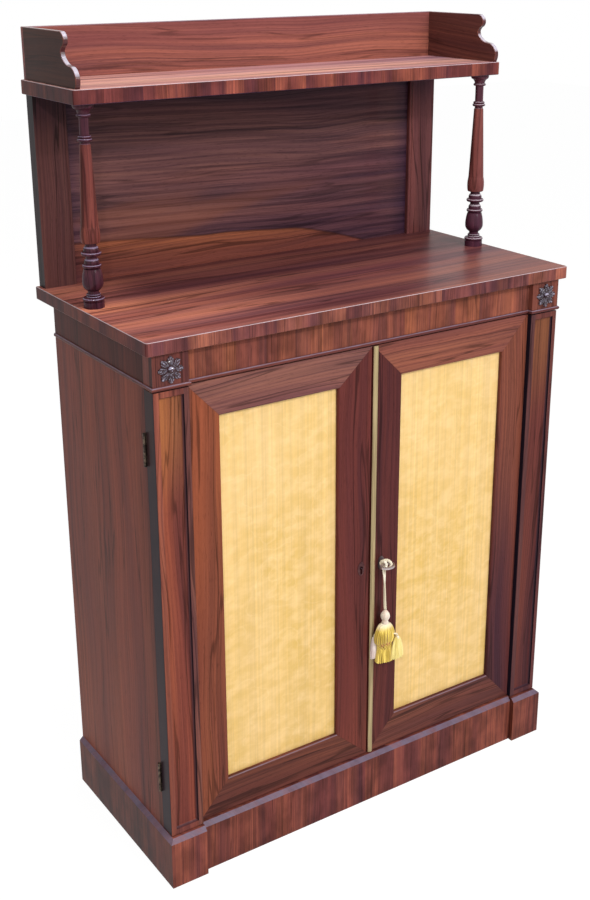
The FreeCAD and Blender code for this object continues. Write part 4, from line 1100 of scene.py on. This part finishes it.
# %% Hitch round the bow
curl = smooth_line([
    (0.0242, -0.1712, 0.4325), (0.0226, -0.1700, 0.4390), (0.0240, -0.1716, 0.4450),
    (0.0280, -0.1765, 0.4462), (0.0308, -0.1812, 0.4436), (0.0314, -0.1822, 0.4382),
    (0.0300, -0.1800, 0.4332), (0.0276, -0.1758, 0.4318), (0.0262, -0.1720, 0.4325),
])
turn_back = smooth_line([
    (0.0212, -0.1722, 0.4340), (0.0205, -0.1675, 0.4372), (0.0212, -0.1688, 0.4430),
    (0.0236, -0.1752, 0.4446), (0.0250, -0.1782, 0.4395), (0.0240, -0.1765, 0.4335),
])
hitch = twisted("tassel_hitch", [curl, turn_back], radius=0.0022, material=cream)

# %% Head
head_profile = [(0.0044, 0.3300), (0.0060, 0.3310), (0.0056, 0.3350), (0.0050, 0.3385)]
head_profile += [
    (0.0078 * math.sin(math.pi * (0.20 + 0.76 * step / 12)), 0.3390 + 0.0196 * step / 12)
    for step in range(13)
]
head = spun("tassel_ball", hang, head_profile, head_cream, ribs=26, depth=0.09, lean=38)


# %% Bell, band, net and skirt
def bunch(name, thread_kind, strands, seed, heights, top_ring, foot_ring, centre=middle, **shape):
    """Threads from a top ring to a foot ring, each an oval (half width, half depth)."""
    return grow(
        name, threads, Strands=strands, Seed=seed, Thread=thread_kind,
        Centre_X=centre[0], Centre_Y=centre[1], Top=heights[0], Foot=heights[1],
        Top_Wide=top_ring[0], Top_Deep=top_ring[1],
        Foot_Wide=foot_ring[0], Foot_Deep=foot_ring[1], **shape,
    )


bell = bunch(
    "tassel_bell", gold, strands=32, seed=3, heights=(0.3325, 0.2990),
    top_ring=(0.0050, 0.0045), foot_ring=(0.0188, 0.0094),
    Dome=0.34, Bulge=0.13, Inside=0.06, Uneven=0.05, Curl=0.0016, Radius=0.0015,
)
lining = bunch(
    "tassel_lining", amber, strands=60, seed=4, heights=(0.3320, 0.3000),
    top_ring=(0.0035, 0.0035), foot_ring=(0.0154, 0.0078),
    Dome=0.36, Bulge=0.10, Inside=0.10, Radius=0.0012,
)
band = bunch(
    "tassel_band", amber, strands=56, seed=8, heights=(0.3045, 0.2890),
    top_ring=(0.0120, 0.0066), foot_ring=(0.0119, 0.0068),
    Dome=1.0, Bulge=0.03, Inside=0.04, Radius=0.0011,
)
picots = bunch(
    "tassel_picots", russet, strands=18, seed=2, heights=(0.3020, 0.2945),
    top_ring=(0.0146, 0.0082), foot_ring=(0.0138, 0.0080),
    Dome=1.0, Bulge=0.05, Uneven=0.5, Radius=0.0010,
)
nets = [
    bunch(
        f"tassel_net_{side}", gold, strands=15, seed=8, heights=(0.3010, 0.2875),
        top_ring=(0.0130, 0.0078), foot_ring=(0.0132, 0.0080),
        Dome=1.0, Bulge=0.03, Twist=twist, Radius=0.00075,
    )
    for side, twist in (("left", -0.85), ("right", 0.85))
]
skirt = bunch(
    "tassel_fringe", gold, strands=170, seed=5, heights=(0.2930, 0.2650),
    top_ring=(0.0136, 0.0068), foot_ring=(0.0186, 0.0094),
    centre=(middle[0] + 0.0014, middle[1]),
    Dome=0.9, Bulge=0.03, Inside=0.30, Uneven=0.05, Radius=0.0009,
)

# %% Small tassels at the sides
left_place, right_place = (0.0086, -0.1694), (0.0435, -0.1866)
left_small = bunch(
    "small_tassel_left", rose_cream, strands=90, seed=11, heights=(0.3085, 0.2700),
    top_ring=(0.0026, 0.0016), foot_ring=(0.0062, 0.0042), centre=left_place,
    Dome=0.7, Bulge=0.20, Inside=0.5, Uneven=0.10, Radius=0.00085,
)
right_small = bunch(
    "small_tassel_right", lemon, strands=110, seed=12, heights=(0.3070, 0.2675),
    top_ring=(0.0034, 0.0020), foot_ring=(0.0122, 0.0036), centre=right_place,
    Dome=0.65, Bulge=0.15, Inside=0.5, Uneven=0.10, Radius=0.0009,
)
ties = twisted(
    "small_tassel_ties",
    [
        smooth_line([(middle[0] + 0.0125, middle[1] - 0.0060, 0.3130), (0.0405, -0.1866, 0.3140),
                     (0.0435, -0.1870, 0.3110), (0.0435, -0.1866, 0.3050)]),
        smooth_line([(middle[0] - 0.0120, middle[1] + 0.0035, 0.3130), (0.0100, -0.1702, 0.3150),
                     (0.0086, -0.1696, 0.3120), (0.0086, -0.1694, 0.3070)]),
    ],
    radius=0.0012, material=cream,
)


def knob(name, centre, low, wide):
    """A ball of thread, 6 mm high, that bulges to a radius of wide."""
    steps = ((0.0008, 0.6), (0.0026, 1.0), (0.0044, 0.9), (0.0060, 0.4))
    profile = [(0.0006, low)] + [(share * wide, low + rise) for rise, share in steps]
    return spun(name, centre, profile, cream, ribs=9, depth=0.12, lean=60, around=36)


knobs = [
    knob("small_knob_left", left_place, low=0.3040, wide=0.0028),
    knob("small_knob_right", right_place, low=0.3025, wide=0.0036),
]

# %% Hang the tassel on its body
fringes = [bell, lining, band, picots, skirt, left_small, right_small, *nets]
for piece in fringes + [cord, hitch, head, ties, *knobs]:
    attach(piece, "tassel")
    "gold_thread" if piece in fringes else "cream_thread"
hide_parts("tassel_cord")
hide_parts("tassel_head")
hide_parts("tassel_skirt")
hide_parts("small_tassels")

# %% [markdown]
# ## Screws
# The leaves of the hinges, the lock and the bolt plates are held by slotted screws, and the boards
# behind the silk by small pins. They are all alike, so one tree puts a slotted head on every
# point, and turns it as the plate faces.


# %% A tree that sets screws
def screw_tree():
    kinds = {"Geometry": "Geometry", "Facing": "Float", "Radius": "Float", "Seed": "Int"}
    t, get = start_group("screws", {**kinds, "Metal": "Material"})
    radius = get("Radius")
    disc = {"Vertices": 20, "Radius": radius, "Depth": 0.0006}
    head = t.node("GeometryNodeMeshCylinder", disc)
    slot = t.node("GeometryNodeMeshCube", {"Size": t.vector(radius * 3, radius * 0.22, 0.0006)})
    slot = t.node("GeometryNodeTransform", {"Geometry": slot, "Translation": (0, 0, 0.0004)})
    cut = {"Mesh 1": head, "Mesh 2": slot}
    head = t.node("GeometryNodeMeshBoolean", cut, operation="DIFFERENCE")
    index = t.node("GeometryNodeInputIndex")
    turns = {"Min": 0.0, "Max": 6.28, "ID": index, "Seed": get("Seed")}
    turn = t.node("FunctionNodeRandomValue", turns, data_type="FLOAT")
    spin = t.node("FunctionNodeEulerToRotation", (t.vector(0, 0, turn),))
    tip = t.node("FunctionNodeEulerToRotation", (t.vector(get("Facing"), 0, 0),))
    both = t.node("FunctionNodeRotateRotation", (tip, spin), rotation_space="LOCAL")
    points = t.node("GeometryNodeMeshToPoints", {"Mesh": get("Geometry")})
    copies = {"Points": points, "Instance": head, "Rotation": both}
    return end_group(t, t.node("GeometryNodeInstanceOnPoints", copies), get("Metal"))


screws = screw_tree()
FORWARD, BACKWARD = math.pi / 2, -math.pi / 2
HEAD_STEP = 0.0002  # from the face of a plate to the middle of a screw's head


def set_screws(name, points, facing, body, radius=0.0024, metal_slot="brass", metal=brass):
    made = grow(name, screws, points, Facing=facing, Radius=radius, Seed=4, Metal=metal)
    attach(made, body)


# %% Screws of the hinges
HINGE_HEIGHTS = (0.180, 0.716)
CARCASS_LEAF, DOOR_LEAF = -0.1442, -0.1449
hinge_rows = [
    (x, height + step)
    for height in HINGE_HEIGHTS
    for x, step in ((0.368, -0.017), (0.364, 0.0), (0.368, 0.017))
]
for side, sign in (("left", -1), ("right", 1)):
    places = [(sign * x, CARCASS_LEAF, z) for x, z in hinge_rows]
    set_screws(f"{side}_carcass_hinge_screws", places, FORWARD, "carcass")
    places = [(sign * x, DOOR_LEAF, z) for x, z in hinge_rows]
    set_screws(f"{side}_door_hinge_screws", places, BACKWARD, f"{side} door")

# %% Screws of the lock
lock_low, lock_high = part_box("lock_case")
corners = [
    (x, lock_high.y - HEAD_STEP, z)
    for x in (lock_low.x + 0.005, lock_high.x - 0.005)
    for z in (lock_low.z + 0.005, lock_high.z - 0.005)
]
of_steel = {"metal_slot": "steel", "metal": steel}
set_screws("lock_screws", corners, BACKWARD, "right door", radius=0.0022, **of_steel)

# %% Screws of the bolt plates
PLATE_THICKNESS, PLATE_HEIGHT = 0.0014, 0.060
plate_low, plate_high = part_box("left_bolt_plates")
plate_face = plate_low.y + PLATE_THICKNESS
corners = [
    (x, plate_face + HEAD_STEP, z)
    for x in (plate_low.x + 0.0025, plate_high.x - 0.0025)
    for low in (plate_low.z, plate_high.z - PLATE_HEIGHT)
    for z in (low + 0.014, low + 0.030, low + 0.046)
]
set_screws("bolt_plate_screws", corners, BACKWARD, "left door", radius=0.0019)

# %% Pins round the boards behind the silk
PIN_INSET, PIN_START = 0.006, 0.02


def along(low, high, count):
    """Places from near one end of a side to near the other."""
    gap = (high - low - 2 * PIN_START) / (count - 1)
    return [low + PIN_START + step * gap for step in range(count)]


for side in ("left", "right"):
    low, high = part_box(f"{side}_silk_board")
    y = high.y + HEAD_STEP
    pins = [
        (x, y, z)
        for x in (low.x + PIN_INSET, high.x - PIN_INSET)
        for z in along(low.z, high.z, 8)
    ]
    pins += [
        (x, y, z)
        for z in (low.z + PIN_INSET, high.z - PIN_INSET)
        for x in along(low.x, high.x, 4)
    ]
    set_screws(f"{side}_board_pins", pins, BACKWARD, f"{side} door", radius=0.0016, **of_steel)

# %% Sizes
low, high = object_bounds()
print("visual model from", [round(v, 3) for v in low], "to", [round(v, 3) for v in high])
